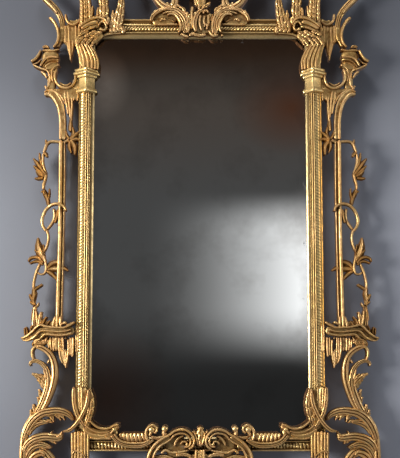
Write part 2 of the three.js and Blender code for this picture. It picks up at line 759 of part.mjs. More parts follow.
// ---- Flowering vine that climbs the colonnette -----------------------------------------
const vineFront = carvedFront + 4;
const vineBack = carvedBack - 12;
const overRod = { front: carvedFront - 8, back: carvedFront + 4 - clearance * 2 };
const stem = (points, width = 9) => ({
  line: byFoot(points), width: [width, width], front: vineFront, back: vineBack,
});
const leaf = (points, width) => ({
  line: byFoot(points), width: [width * 0.4, width, width * 0.8, width * 0.2],
  front: vineFront - 3, back: vineBack,
});
const vine = carving([
  stem([[70, 850], [82, 849], [92, 842], [97, 830], [97, 812], [92, 796], [90, 770], [93, 744],
    [99, 728], [98, 712], [91, 697], [84, 682], [82, 668]]),
  leaf([[64, 851], [74, 852], [84, 850], [90, 846]], 12),
  leaf([[98, 834], [96, 824], [92, 812], [88, 802]], 14),
  leaf([[90, 752], [104, 768], [116, 786], [126, 800]], 20),
  leaf([[90, 748], [104, 758], [118, 770], [129, 776]], 18),
  leaf([[92, 744], [106, 746], [118, 746], [126, 744]], 16),
  leaf([[98, 724], [90, 726], [82, 730], [74, 736]], 9),
  leaf([[98, 724], [104, 718], [108, 712], [112, 708]], 9),
  { line: byFoot([[86, 660], [76, 672], [60, 675], [46, 669], [36, 656]]),
    width: [8, 8, 9, 8, 5], ...overRod, back: [vineBack, overRod.back, overRod.back] },
  stem([[84, 672], [94, 655], [102, 636], [101, 618], [95, 603], [86, 592], [84, 574],
    [87, 554], [91, 536], [96, 514]]),
  stem([[84, 664], [78, 650], [74, 634], [76, 618], [86, 598]], 8),
  leaf([[94, 512], [104, 530], [110, 556], [113, 580]], 26),
  leaf([[92, 512], [104, 526], [120, 528], [138, 516]], 15),
  stem([[98, 518], [108, 508], [112, 496], [106, 485], [96, 484], [89, 494], [90, 508], [98, 516]], 8),
  { line: byFoot([[92, 496], [74, 500], [54, 494], [33, 491]]), width: [18, 22, 16, 4],
    ...overRod, back: [vineBack, overRod.back, overRod.back] },
  stem([[106, 490], [116, 478], [122, 462], [122, 444], [119, 424], [116, 404], [114, 388],
    [120, 372], [120, 350], [116, 330], [112, 316]]),
  leaf([[118, 424], [110, 434], [102, 444], [96, 454]], 12),
  leaf([[118, 402], [126, 408], [130, 418], [134, 428]], 16),
  leaf([[116, 396], [124, 396], [132, 398], [138, 396]], 14),
  leaf([[116, 398], [108, 402], [104, 410], [102, 420]], 12),
  leaf([[116, 336], [106, 348], [98, 356], [88, 354]], 16),
  leaf([[114, 328], [100, 334], [88, 340], [78, 336]], 18),
  leaf([[116, 332], [126, 344], [128, 356], [124, 368]], 14),
]);

// ---- Finishes --------------------------------------------------------------------------
const finish = (color, roughness, metalness) => (
  new THREE.MeshStandardMaterial({ color, roughness, metalness })
);
const gilt = finish(0xc9a45c, 0.38, 0.85);
const burnished = finish(0xe6d3a0, 0.25, 0.9);
const silvered = finish(0x3a3a3c, 0.05, 1);
const rawPine = finish(0x9a7a54, 0.8, 0);
const iron = finish(0x4c4742, 0.55, 0.7);

// ---- Assembly --------------------------------------------------------------------------
const mirror = new THREE.Group();

function add(name, body, material) {
  const geometry = (body.isBufferGeometry ? body : geometryOf(body)).toNonIndexed();
  geometry.computeVertexNormals();
  const mesh = new THREE.Mesh(geometry, material);
  mesh.name = name;
  mirror.add(mesh);
}

function addPair(name, body, material) {
  const right = geometryOf(body);
  add(`${name}_right`, right, material);
  add(`${name}_left`, mirrored(right), material);
}

// Two pieces drawn for the right side, and the growth that keeps a neighbour off them.
const carve = (shape, ...others) => withoutCrumbs(cut(shape(), frameBlock, ...others));
const near = (shape) => shape(clearance);

const screwHoles = screwHeights.map((height) => screwHole(screwShank / 2 + clearance, height));
addPair('stile', cut(stile(1, mouldedSection), ...screwHoles), gilt);
addPair('slip', stile(1, slipSection), burnished);
add('rail_top', rail(1, topRailFace, mouldedSection), gilt);
add('rail_bottom', rail(-1, bottomRailFace, mouldedSection), gilt);
add('slip_top', rail(1, topRailFace, slipSection), burnished);
add('slip_bottom', rail(-1, bottomRailFace, slipSection), burnished);
add('mirror_plate', mirrorPlate, silvered);
for (let i = 0; i < boardCount; i += 1) {
  add(`backboard_${i + 1}`, backboard(i), rawPine);
}
add('back_batten_upper', batten(battenSpread), rawPine);
add('back_batten_middle', batten(0), rawPine);
add('back_batten_lower', batten(-battenSpread), rawPine);
add('crest_brace', brace(1, crestReach * 0.75), rawPine);
add('apron_brace', brace(-1, apronReach * 0.7), rawPine);

addPair('hanger_strap', hangerStrap(), iron);
addPair('hanger_ring', hangerRing(), iron);
addPair('hanger_screw_upper', hangerScrew(screwHeights[0]), iron);
addPair('hanger_screw_lower', hangerScrew(screwHeights[1]), iron);

addPair('shelf', carve(shelf), gilt);
addPair('colonnette', carve(colonnette, near(shelf)), gilt);
addPair('shelf_fringe', carve(shelfFringe, near(shelf)), gilt);
addPair('under_scroll', carve(underScroll, near(shelf), near(shelfFringe)), gilt);
addPair('lower_acanthus', carve(lowerAcanthus, near(underScroll)), gilt);
addPair('crossed_rushes', carve(crossedRushes, near(lowerAcanthus)), gilt);
addPair('corner_drip', carve(cornerDrip, near(crossedRushes), near(lowerAcanthus)), gilt);
addPair('bottom_scroll', carve(bottomScroll, near(crossedRushes), near(cornerDrip)), gilt);
addPair('capital', carve(capital, behindCapital), gilt);
addPair('capital_plume', carve(capitalPlume, near(capital)), gilt);
addPair('shoulder_scroll', carve(
  shoulderScroll, near(colonnette), near(capital), near(capitalPlume),
), gilt);
addPair('corner_leaf', carve(cornerLeaf, near(capitalPlume), near(shoulderScroll)), gilt);
addPair('crest_plume', carve(crestPlume, near(cornerLeaf), near(shoulderScroll)), gilt);
addPair('crest_scroll', carve(crestScroll, near(crestPlume)), gilt);
addPair('vine', carve(vine, near(colonnette), near(shelf), near(shoulderScroll)), gilt);

const leftOf = (body) => solid(mirrored(geometryOf(body)));
const crestPair = near(crestScroll);
add('crest_finial', carve(crestFinial, crestPair, leftOf(crestPair)), gilt);
const scrollPair = near(bottomScroll);
add('apron_cartouche', carve(apronCartouche, scrollPair, leftOf(scrollPair)), gilt);

export default mirror;
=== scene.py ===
"""A carved giltwood pier mirror: fine carving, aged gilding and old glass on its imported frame.

Lengths in the carving are in millimetres and meshes are in metres. The front faces -Y and +Z is up.
"""
from __future__ import annotations

import logging
import math
from dataclasses import dataclass, replace
from enum import Enum

import bpy
import numpy as np
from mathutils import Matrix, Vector

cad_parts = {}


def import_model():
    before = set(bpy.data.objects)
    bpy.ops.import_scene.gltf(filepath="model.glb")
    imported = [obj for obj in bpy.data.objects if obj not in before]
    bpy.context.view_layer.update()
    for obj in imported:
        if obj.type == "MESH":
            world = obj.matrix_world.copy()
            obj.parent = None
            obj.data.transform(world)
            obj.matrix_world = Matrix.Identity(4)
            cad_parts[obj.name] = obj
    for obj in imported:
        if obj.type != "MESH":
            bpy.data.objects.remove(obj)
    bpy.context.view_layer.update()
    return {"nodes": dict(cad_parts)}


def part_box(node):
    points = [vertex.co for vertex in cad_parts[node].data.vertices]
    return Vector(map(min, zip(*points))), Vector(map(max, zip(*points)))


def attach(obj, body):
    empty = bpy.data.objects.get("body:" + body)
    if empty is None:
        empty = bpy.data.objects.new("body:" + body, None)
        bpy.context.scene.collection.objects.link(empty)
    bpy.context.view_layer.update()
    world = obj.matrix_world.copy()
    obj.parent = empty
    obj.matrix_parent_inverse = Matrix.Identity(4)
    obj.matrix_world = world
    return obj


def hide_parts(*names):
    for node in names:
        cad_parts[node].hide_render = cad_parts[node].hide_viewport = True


LOG = logging.getLogger("pier_mirror")
MM = 0.001
ROOT = "mirror"


# ---- Places ---------------------------------------------------------------------------------
@dataclass(frozen=True)
class Places:
    """The lines that the carving is drawn from, in millimetres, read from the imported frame."""

    edge: float
    top: float
    bottom: float
    rail_top: float
    rail_bottom: float
    stile: float
    front: float
    back: float
    shelf: float = 318.0
    capital: float = -145.0

    @classmethod
    def read(cls) -> "Places":
        """Measures the frame's bars and slips.

        Returns:
            The lines, with the shelf and the capital at their drawn heights.
        """
        stile = np.array(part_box("stile_right")) / MM
        slip = np.array(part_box("slip_right")) / MM
        upper = np.array(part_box("slip_top")) / MM
        lower = np.array(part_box("slip_bottom")) / MM
        edge = stile[1, 0]
        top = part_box("rail_top")[1][2] / MM
        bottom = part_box("rail_bottom")[0][2] / MM
        return cls(
            edge=edge, top=top, bottom=bottom,
            rail_top=top - upper[0, 2], rail_bottom=lower[1, 2] - bottom,
            stile=edge - slip[0, 0],
            front=stile[0, 1], back=stile[1, 1],
        )

    def head(self, *points: tuple[float, float]) -> np.ndarray:
        """Points drawn outward from the stile and up from the top of the frame."""
        return np.array(points, float) + (self.edge, self.top)

    def foot(self, *points: tuple[float, float]) -> np.ndarray:
        """Points drawn outward from the stile and up from the foot of the frame."""
        return np.array(points, float) + (self.edge, self.bottom)

    def on_shelf(self, *points: tuple[float, float]) -> np.ndarray:
        """Points drawn outward from the stile and up from the top of the side shelf."""
        return np.array(points, float) + (self.edge, self.bottom + self.shelf)

    def over(self, *points: tuple[float, float]) -> np.ndarray:
        """Points drawn from the middle and up from the top of the frame."""
        return np.array(points, float) + (0.0, self.top)

    def under(self, *points: tuple[float, float]) -> np.ndarray:
        """Points drawn from the middle and up from the foot of the frame."""
        return np.array(points, float) + (0.0, self.bottom)


@dataclass(frozen=True)
class Layer:
    """How deep a carving lies: its back, the turn of its flanks and its ridge, as Y."""

    back: float
    flank: float
    front: float


SIDE = Layer(-14.0, -31.0, -48.0)
APPLIED = Layer(-38.0, -54.0, -62.0)
SHELF = Layer(-14.0, -52.0, -48.0)
OVER = Layer(-38.0, -52.0, -62.0)
WIDE = Layer(-40.0, -52.0, -62.0)
VINE = Layer(-26.0, -34.0, -45.0)
TWIST = Layer(-30.0, -46.0, -56.0)
CREST = Layer(-14.0, -52.0, -62.0)
HEART = Layer(-9.0, -54.0, -62.0)


# ---- Carver's strokes -----------------------------------------------------------------------
class Cut(Enum):
    """How the face of a stroke is carved."""

    SCROLL = "hollows between raised fillets"
    ROUND = "a plain half-round"
    REEDS = "parallel reeds"
    BANDS = "broad flat bands with narrow grooves between them"
    GROUND = "a flat ground that lies deep between the raised parts"
    LEAF = "a lobed leaf with a midrib and veins"
    BLADE = "a plain blade with a sharp midrib"
    GADROON = "rounded lobes across the band"


SCROLL, ROUND, REEDS, BANDS, GROUND, LEAF, BLADE, GADROON = Cut


UNDERCUT = 0.75  # width of a stroke at its back, as a share of its face
BACK_HOLLOW = 0.7  # how hollow its back counts as: its undercut flanks are darkened by it, as painted shade and soiling
GROUND_HOLLOW = 0.3  # the same for a flat ground
BUTTON_SIDES = 20
BARE_BACK = 0.6  # a face whose normal's Y is over this is turned to the wall, and isn't gilt


@dataclass(frozen=True)
class Stroke:
    """A band swept along a smooth line, from its first width to its last.

    proud is how far the ridge stands before the layer's own front, along the line. count is the
    number of reeds, fillets, veins or gadroons, and lobes the number of scallops along both edges.
    boss is the radius of a button on the last point.
    """

    line: np.ndarray
    width: tuple[float, ...]
    cut: Cut
    layer: Layer
    proud: tuple[float, ...] = (0.0,)
    count: int = 2
    lobes: int = 0
    boss: float = 0.0


@dataclass
class Shell:
    """Vertices, faces and the hollow attribute of one closed surface, in metres: a high hollow value darkens
    the gilding as painted shade and soiling, a low one wears it.
    """

    points: np.ndarray
    faces: list[list[int]]
    hollow: np.ndarray


def smooth_line(points: np.ndarray, count: int) -> np.ndarray:
    """Samples a centripetal Catmull-Rom line.

    Each span is a cubic whose end slopes come from the neighbours' distances to the power 1/2.

    Args:
        points: the control points, one row each.
        count: samples, spread evenly over the spans.

    Returns:
        The sampled points.
    """
    ends = np.vstack([2 * points[0] - points[1], points, 2 * points[-1] - points[-2]])
    place = np.linspace(0, len(points) - 1, count)
    span = np.minimum(place.astype(int), len(points) - 2)
    t = (place - span)[:, None]
    p0, p1, p2, p3 = (ends[span + k] for k in range(4))
    d0, d1, d2 = (
        np.maximum(np.linalg.norm(b - a, axis=1), 1e-6)[:, None] ** 0.5
        for a, b in ((p0, p1), (p1, p2), (p2, p3))
    )
    m1 = ((p1 - p0) / d0 - (p2 - p0) / (d0 + d1) + (p2 - p1) / d1) * d1
    m2 = ((p2 - p1) / d1 - (p3 - p1) / (d1 + d2) + (p3 - p2) / d2) * d1
    return (
        p1 + m1 * t + (3 * (p2 - p1) - 2 * m1 - m2) * t**2 + (2 * (p1 - p2) + m1 + m2) * t**3
    )


def along(values: tuple[float, ...], count: int) -> np.ndarray:
    """Spreads a short list of values evenly over count samples, linearly between them."""
    knots = np.linspace(0, 1, len(values))
    return np.interp(np.linspace(0, 1, count), knots, values)


def ridge(phase: np.ndarray) -> np.ndarray:
    """A row of half-round ridges, one for each whole step of the phase."""
    return np.sqrt(np.clip(1 - (2 * (phase % 1) - 1) ** 2, 0, 1))


def notch(phase: np.ndarray, width: float) -> np.ndarray:
    """A bell of 1 at each whole phase, falling away over the width."""
    off = np.abs((phase + 0.5) % 1 - 0.5)
    return np.exp(-((off / width) ** 2))


def relief(stroke: Stroke, u: np.ndarray, s: np.ndarray) -> np.ndarray:
    """Height of a stroke's face, from 0 at its flanks to 1 at its ridge.

    Args:
        stroke: the stroke, which names the cut.
        u: share of the length, as a column.
        s: place across the band, from -1 to 1, as a row.

    Returns:
        The heights on the grid of u and s.
    """
    a = np.abs(s) + 0 * u
    roll = np.sqrt(np.clip(1 - a**8, 0, 1))
    if stroke.cut is SCROLL:
        lane = (s + 0.8) / 1.6 * (stroke.count - 1) + 0 * u
        off = np.abs(lane - np.clip(np.round(lane), 0, stroke.count - 1))
        fillet = np.exp(-((off / (0.07 + 0.04 * stroke.count)) ** 2))
        return roll * (0.36 + 0.1 * (1 - a**2) + 0.6 * fillet)
    if stroke.cut is BANDS:
        return roll * (1 - 0.2 * a**2) * (1 - 0.55 * notch(stroke.count * (s + 1) / 2 + 0 * u, 0.12))
    if stroke.cut is GROUND:
        return np.sqrt(np.clip(1 - a**6, 0, 1))
    if stroke.cut is ROUND:
        return np.sqrt(np.clip(1 - a**2, 0, 1))
    if stroke.cut is REEDS:
        crown = 1 - 0.45 * a**2
        return crown * (0.35 + 0.65 * ridge(stroke.count * (s + 1) / 2 + 0 * u))
    if stroke.cut is GADROON:
        crown = np.sqrt(np.clip(1 - 0.8 * a**2, 0, 1))
        return crown * (0.3 + 0.7 * ridge(stroke.count * u - 0.3 * s))
    if stroke.cut is BLADE:
        return (1 - 0.75 * a) * (1 - 0.25 * notch(a * 2.0, 0.12)) * roll
    phase = stroke.count * u - 0.6 * a
    body = 0.45 + 0.55 * np.sqrt(np.clip(1 - a**2, 0, 1))
    veins = 0.28 * notch(phase, 0.14) * a**0.6
    return np.clip(body - veins - 0.35 * np.exp(-((a / 0.1) ** 2)) * np.sin(np.pi * u), 0, 1)


def spread(grid: np.ndarray, steps: int) -> np.ndarray:
    """Averages a grid with its four neighbours, a few times over, with its edges held.

    Args:
        grid: the values.
        steps: how many times.

    Returns:
        The smoothed grid.
    """
    for _ in range(steps):
        padded = np.pad(grid, 1, mode="edge")
        grid = (
            padded[:-2, 1:-1] + padded[2:, 1:-1] + padded[1:-1, :-2] + padded[1:-1, 2:] + 2 * grid
        ) / 6
    return grid


def tube_faces(rings: int, sides: int) -> list[list[int]]:
    """Quads between closed rings of vertices, with a flat cap at each end.

    Args:
        rings: number of rings.
        sides: vertices in each ring.

    Returns:
        The faces, as lists of vertex numbers.
    """
    i, j = np.meshgrid(np.arange(rings - 1), np.arange(sides), indexing="ij")
    k = (j + 1) % sides
    quads = np.stack([i * sides + j, i * sides + k, (i + 1) * sides + k, (i + 1) * sides + j], -1)
    last = (rings - 1) * sides
    caps = [list(range(sides))[::-1], list(range(last, last + sides))]
    return quads.reshape(-1, 4).tolist() + caps


def outward(shell: Shell) -> Shell:
    """Turns a closed shell's faces so that they point out, by the sign of its volume.

    Args:
        shell: the shell, which is changed.

    Returns:
        The same shell.
    """
    corners = np.array([face[:3] for face in shell.faces])
    a, b, c = (shell.points[corners[:, n]] for n in range(3))
    middle = shell.points.mean(0)
    if np.einsum("ij,ij->i", a - middle, np.cross(b - middle, c - middle)).sum() < 0:
        shell.faces = [face[::-1] for face in shell.faces]
    return shell


def carve(stroke: Stroke, pitch: float = 1.7) -> list[Shell]:
    """Carves one stroke: its section is a closed ring of the face and an undercut back.

    Args:
        stroke: the stroke.
        pitch: distance between rings, in millimetres.

    Returns:
        The stroke's shell, and its boss if it has one.
    """
    rough = smooth_line(stroke.line, 64)
    length = np.linalg.norm(np.diff(rough, axis=0), axis=1).sum()
    count = max(12, int(length / pitch))
    line = smooth_line(stroke.line, count)
    way = np.gradient(line, axis=0)
    way /= np.maximum(np.linalg.norm(way, axis=1), 1e-9)[:, None]
    side = np.stack([-way[:, 1], way[:, 0]], 1)
    run = np.concatenate([[0], np.cumsum(np.linalg.norm(np.diff(line, axis=0), axis=1))])
    u = (run / run[-1])[:, None]
    half = along(stroke.width, count) / 2
    first, last = np.maximum(half[0], 1.2), np.maximum(half[-1], 1.2)
    near = np.minimum(run / first, (run[-1] - run) / last)
    round_end = np.sqrt(np.clip(1 - (1 - np.clip(near, 0, 1)) ** 2, 0.0004, 1))
    scallops = stroke.lobes or (stroke.count if stroke.cut is LEAF else 0)
    if scallops:
        half = half * (1 - 0.2 * notch(scallops * u[:, 0] - 0.6, 0.12))
    half = half * round_end

    if stroke.cut in (REEDS, SCROLL, BANDS):
        s = np.linspace(-1, 1, 10 * stroke.count + 5)[None]
    else:
        s = np.sin(np.linspace(-np.pi / 2, np.pi / 2, 19))[None]
    face = relief(stroke, u, s) * round_end[:, None]
    if stroke.lobes:
        face = face * (1 - 0.3 * notch(stroke.lobes * u - 0.6 - 0.4 * np.abs(s), 0.14))
    front = stroke.layer.front - along(stroke.proud, count)[:, None]
    back = stroke.layer.back + 0 * u
    flank = np.maximum(stroke.layer.flank + 0 * front, front + 4)
    flank = np.minimum(flank, front + 1.1 * half[:, None] + 3)
    depth = np.hstack([back, flank + (front - flank) * face, back])
    across = np.hstack([-UNDERCUT + 0 * u, s + 0 * u, UNDERCUT + 0 * u]) * half[:, None]
    points = np.stack([
        line[:, :1] + side[:, :1] * across, depth, line[:, 1:] + side[:, 1:] * across,
    ], -1)
    # Dips of the face below its smoothed self and its low parts, such as blade edges and the valleys between
    # reeds and fillets, get a high hollow value: painted shade and soiling that draws dark outlines between
    # strokes. A flat ground takes a fixed value, as shade between the raised strokes, and tops get a low one,
    # for wear.
    cavity_shade_and_wear = spread(face, 6) - face
    low = np.clip(1.9 * (0.70 - face), -0.35, 0.5)
    deep = GROUND_HOLLOW + 0 * face if stroke.cut is GROUND else low
    hollow = np.hstack([BACK_HOLLOW + 0 * u, np.clip(2.6 * cavity_shade_and_wear + deep, -1, 1), BACK_HOLLOW + 0 * u])
    shells = [outward(Shell(
        points.reshape(-1, 3) * MM, tube_faces(count, points.shape[1]), hollow.ravel(),
    ))]
    if stroke.boss:
        x, z = stroke.line[-1]
        tip = float(front[-1, 0]) - 0.25 * stroke.boss
        shells.append(boss(x, z, stroke.boss, stroke.layer.back, tip))
    return shells


def boss(x: float, z: float, radius: float, back: float, front: float) -> Shell:
    """A round button: its half-section is a straight wall and a quarter of an ellipse.

    Args:
        x: its middle across, in millimetres, as all the rest.
        z: its middle's height.
        radius: its size.
        back: the Y of its back.
        front: the Y of its top.

    Returns:
        The button's shell.
    """
    rise = np.linspace(0, np.pi / 2, 7)[:-1]
    wall = front + 0.8 * radius
    radii = np.concatenate([[radius * 0.85], radius * np.cos(rise), [radius * 0.08]])
    depths = np.concatenate([[back], wall + (front - wall) * np.sin(rise), [front]])
    turn = np.linspace(0, 2 * np.pi, BUTTON_SIDES, endpoint=False)
    points = np.stack([
        x + radii[:, None] * np.cos(turn), depths[:, None] + 0 * turn,
        z + radii[:, None] * np.sin(turn),
    ], -1)
    # The button's foot is darkened as painted shade and soiling, and its top is left to wear.
    hollow = np.repeat(np.concatenate([[0.5], np.linspace(0.3, -0.5, 7)]), BUTTON_SIDES)
    return outward(Shell(points.reshape(-1, 3) * MM, tube_faces(len(radii), BUTTON_SIDES), hollow))


def mirrored(shell: Shell) -> Shell:
    """The same shell on the other side of the middle, with its faces turned again."""
    return Shell(shell.points * (-1, 1, 1), [face[::-1] for face in shell.faces], shell.hollow)


def piece(
    name: str,
    shells: list[Shell],
    material: bpy.types.Material,
    bare: bpy.types.Material,
    crease: float = 50,
) -> bpy.types.Object:
    """Makes one object of several shells, smooth but for creases, and leaves its back ungilded.

    Args:
        name: the object's name.
        shells: its closed surfaces.
        material: its finish.
        bare: the wood that shows on the faces turned to the wall.
        crease: the angle in degrees past which an edge stays sharp.

    Returns:
        The object, linked to the scene.
    """
    starts = np.cumsum([0] + [len(shell.points) for shell in shells[:-1]])
    faces = [
        [int(start) + i for i in face]
        for start, shell in zip(starts, shells)
        for face in shell.faces
    ]
    mesh = bpy.data.meshes.new(name)
    mesh.from_pydata(np.vstack([shell.points for shell in shells]).tolist(), [], faces)
    mesh.attributes.new("hollow", "FLOAT", "POINT").data.foreach_set(
        "value", np.concatenate([shell.hollow for shell in shells]).astype(np.float32),
    )
    mesh.shade_smooth()
    mesh.set_sharp_from_angle(angle=math.radians(crease))
    mesh.materials.append(material)
    mesh.materials.append(bare)
    normals = np.zeros(3 * len(mesh.polygons))
    mesh.polygons.foreach_get("normal", normals)
    behind = normals.reshape(-1, 3)[:, 1] > BARE_BACK
    mesh.polygons.foreach_set("material_index", behind.astype(np.int32))
    thing = bpy.data.objects.new(name, mesh)
    bpy.context.collection.objects.link(thing)
    return thing


def place(thing: bpy.types.Object, slot: str, *nodes: str) -> None:
    """Puts a new piece in the frame: it rides on the mirror and stands for its nodes.

    Args:
        thing: the piece.
        slot: not used.
        nodes: the CAD nodes that it replaces.
    """
    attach(thing, ROOT)
    if nodes:
        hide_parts(*nodes)
    LOG.info("%s: %d faces for %s", thing.name, len(thing.data.polygons), ", ".join(nodes) or "no node")


# ---- Shader groups --------------------------------------------------------------------------
class Graph:
    """A node tree being built: adds nodes and joins them in one call."""

    def __init__(self, tree: bpy.types.NodeTree) -> None:
        """Keeps the tree and its links."""
        self.tree = tree

    def node(
        self, kind: str, inputs: dict[str | int, object] | None = None, **settings: object,
    ) -> bpy.types.Node:
        """Adds a node.

        Args:
            kind: the node's type name without its ShaderNode prefix.
            inputs: socket to a value, or to the output socket that feeds it.
            settings: properties of the node.

        Returns:
            The node.
        """
        made = self.tree.nodes.new(kind if kind.startswith("Node") else "ShaderNode" + kind)
        for key, value in settings.items():
            setattr(made, key, value)
        for key, value in (inputs or {}).items():
            if isinstance(value, bpy.types.NodeSocket):
                self.tree.links.new(value, made.inputs[key])
            else:
                made.inputs[key].default_value = value
        return made

    def math(
        self, operation: str, a: object, b: object = 0.5, clamp: bool = False,
    ) -> bpy.types.NodeSocket:
        """One Math node's value."""
        return self.node("Math", {0: a, 1: b}, operation=operation, use_clamp=clamp).outputs[0]

    def ramp(
        self,
        value: object,
        low: float,
        high: float,
        to_low: float = 0.0,
        to_high: float = 1.0,
        soft: bool = False,
    ) -> bpy.types.NodeSocket:
        """A clamped map of a value from one range to another.

        Args:
            value: the socket or number to map.
            low: the value that gives to_low.
            high: the value that gives to_high.
            to_low: the result at low.
            to_high: the result at high.
            soft: whether the map eases in and out instead of running straight.

        Returns:
            The result's socket.
        """
        bend = "SMOOTHSTEP" if soft else "LINEAR"
        inputs = {0: value, 1: low, 2: high, 3: to_low, 4: to_high}
        return self.node("MapRange", inputs, clamp=True, interpolation_type=bend).outputs[0]

    def mix(self, factor: object, a: object, b: object, blend: str = "MIX") -> bpy.types.NodeSocket:
        """A colour mix by a factor."""
        made = self.node("Mix", {0: factor, 6: a, 7: b}, data_type="RGBA", blend_type=blend)
        return made.outputs[2]

    def noise(
        self, where: object, scale: float, detail: float = 4.0, rough: float = 0.55,
    ) -> bpy.types.NodeSocket:
        """A noise value in the piece's own space."""
        inputs = {"Vector": where, "Scale": scale, "Detail": detail, "Roughness": rough}
        return self.node("TexNoise", inputs).outputs[0]

    def join(self, sources: dict[str, bpy.types.NodeSocket], sink: bpy.types.Node) -> None:
        """Links each source to the sink's input of that name."""
        for label, source in sources.items():
            self.tree.links.new(source, sink.inputs[label])


def new_group(
    name: str, inputs: dict[str, tuple[str, object]], outputs: dict[str, str],
) -> tuple[Graph, bpy.types.Node, bpy.types.Node]:
    """Starts a shader node group with named sockets.

    Args:
        name: the group's name.
        inputs: socket name to its type and default.
        outputs: socket name to its type.

    Returns:
        The graph with its input and output nodes.
    """
    tree = bpy.data.node_groups.new(name, "ShaderNodeTree")
    for label, (kind, value) in inputs.items():
        tree.interface.new_socket(label, in_out="INPUT", socket_type=kind).default_value = value
    for label, kind in outputs.items():
        tree.interface.new_socket(label, in_out="OUTPUT", socket_type=kind)
    graph = Graph(tree)
    return graph, graph.node("NodeGroupInput"), graph.node("NodeGroupOutput")


COLOR, VALUE, VECTOR = "NodeSocketColor", "NodeSocketFloat", "NodeSocketVector"


def gilding_group() -> bpy.types.NodeTree:
    """Gold leaf over red bole: rubbed through on the ridges, darkened in the hollows by painted shade and
    soiling, with laps and small chips.

    Returns:
        The node group.
    """
    graph, given, result = new_group("aged_gilding", {
        "Gold": (COLOR, (0.80, 0.56, 0.24, 1)), "Deep": (COLOR, (0.30, 0.16, 0.045, 1)),
        "Bole": (COLOR, (0.30, 0.075, 0.03, 1)), "Wear": (VALUE, 0.5), "Shade_and_Grime": (VALUE, 0.6),
    }, {"Color": COLOR, "Roughness": VALUE, "Metallic": VALUE, "Normal": VECTOR})
    where = graph.node("TexCoord").outputs["Object"]
    hollow = graph.node("Attribute", attribute_name="hollow").outputs["Fac"]
    broad = graph.noise(where, 9.0, 3.0)
    fine = graph.noise(where, 85.0, 6.0, 0.65)
    grain = graph.noise(where, 420.0, 3.0, 0.6)
    # Where the hollow attribute is high the leaf is darkened towards Deep: painted shade in the hollows,
    # undercuts and between strokes, with some real soiling there.
    shade_and_dirt_edge = graph.math("ADD", hollow, graph.math("MULTIPLY", graph.math("SUBTRACT", fine, 0.5), 0.9))
    shade_and_dirt = graph.math("MULTIPLY", graph.ramp(shade_and_dirt_edge, -0.06, 0.42), given.outputs["Shade_and_Grime"])
    worn_edge = graph.math("SUBTRACT", graph.math("MULTIPLY", fine, 1.25), hollow)
    wear = graph.math("MULTIPLY", graph.ramp(worn_edge, 0.80, 1.18), given.outputs["Wear"])
    tone = graph.mix(graph.ramp(broad, 0.35, 0.65), given.outputs["Gold"], (1.0, 0.72, 0.33, 1))
    tone = graph.mix(graph.ramp(grain, 0.3, 0.75, 0.0, 0.35), tone, given.outputs["Deep"])
    tone = graph.mix(shade_and_dirt, tone, given.outputs["Deep"])
    tone = graph.mix(wear, tone, given.outputs["Bole"])
    rough = graph.math("ADD", graph.ramp(fine, 0.3, 0.7, 0.27, 0.44), graph.math("MULTIPLY", shade_and_dirt, 0.25))
    rough = graph.math("ADD", rough, graph.math("MULTIPLY", wear, 0.2))
    bare = graph.math("MAXIMUM", graph.math("MULTIPLY", shade_and_dirt, 0.3), wear)
    metal = graph.math("SUBTRACT", 0.88, graph.math("MULTIPLY", bare, 0.5), clamp=True)
    height = graph.math("ADD", graph.math("MULTIPLY", fine, 0.7), graph.math("MULTIPLY", grain, 0.3))
    bump = graph.node("Bump", {"Strength": 0.35, "Distance": 0.0012, "Height": height})
    normal = bump.outputs[0]
    graph.join({"Color": tone, "Roughness": rough, "Metallic": metal, "Normal": normal}, result)
    return graph.tree


def wood_group() -> bpy.types.NodeTree:
    """Sawn pine: grain along the board, darker rings, stains and a rough surface.

    Returns:
        The node group.
    """
    graph, given, result = new_group("old_pine", {
        "Light": (COLOR, (0.36, 0.25, 0.15, 1)), "Dark": (COLOR, (0.16, 0.09, 0.045, 1)),
        "Along": (VECTOR, (40.0, 40.0, 2.2)),
    }, {"Color": COLOR, "Roughness": VALUE, "Normal": VECTOR})
    where = graph.node("TexCoord").outputs["Object"]
    stretch = {0: where, 1: given.outputs["Along"]}
    stretched = graph.node("VectorMath", stretch, operation="MULTIPLY").outputs[0]
    rings = graph.noise(stretched, 1.6, 5.0, 0.7)
    fibre = graph.noise(stretched, 9.0, 3.0, 0.6)
    stain = graph.noise(where, 5.0, 4.0)
    tone = graph.mix(graph.ramp(rings, 0.35, 0.68), given.outputs["Light"], given.outputs["Dark"])
    tone = graph.mix(graph.ramp(fibre, 0.4, 0.8, 0.0, 0.45), tone, given.outputs["Dark"])
    tone = graph.mix(graph.ramp(stain, 0.45, 0.75, 0.0, 0.55), tone, (0.09, 0.055, 0.03, 1))
    rough = graph.ramp(fibre, 0.2, 0.8, 0.62, 0.9)
    bump = graph.node("Bump", {"Strength": 0.5, "Distance": 0.001, "Height": fibre})
    graph.join({"Color": tone, "Roughness": rough, "Normal": bump.outputs[0]}, result)
    return graph.tree


# ---- Finishes -------------------------------------------------------------------------------
def blank(name: str) -> tuple[bpy.types.Material, Graph, bpy.types.Node]:
    """Starts a material.

    Args:
        name: the material's name.

    Returns:
        The material, its graph and its Principled BSDF.
    """
    material = bpy.data.materials.new(name)
    material.use_nodes = True
    graph = Graph(material.node_tree)
    return material, graph, material.node_tree.nodes["Principled BSDF"]


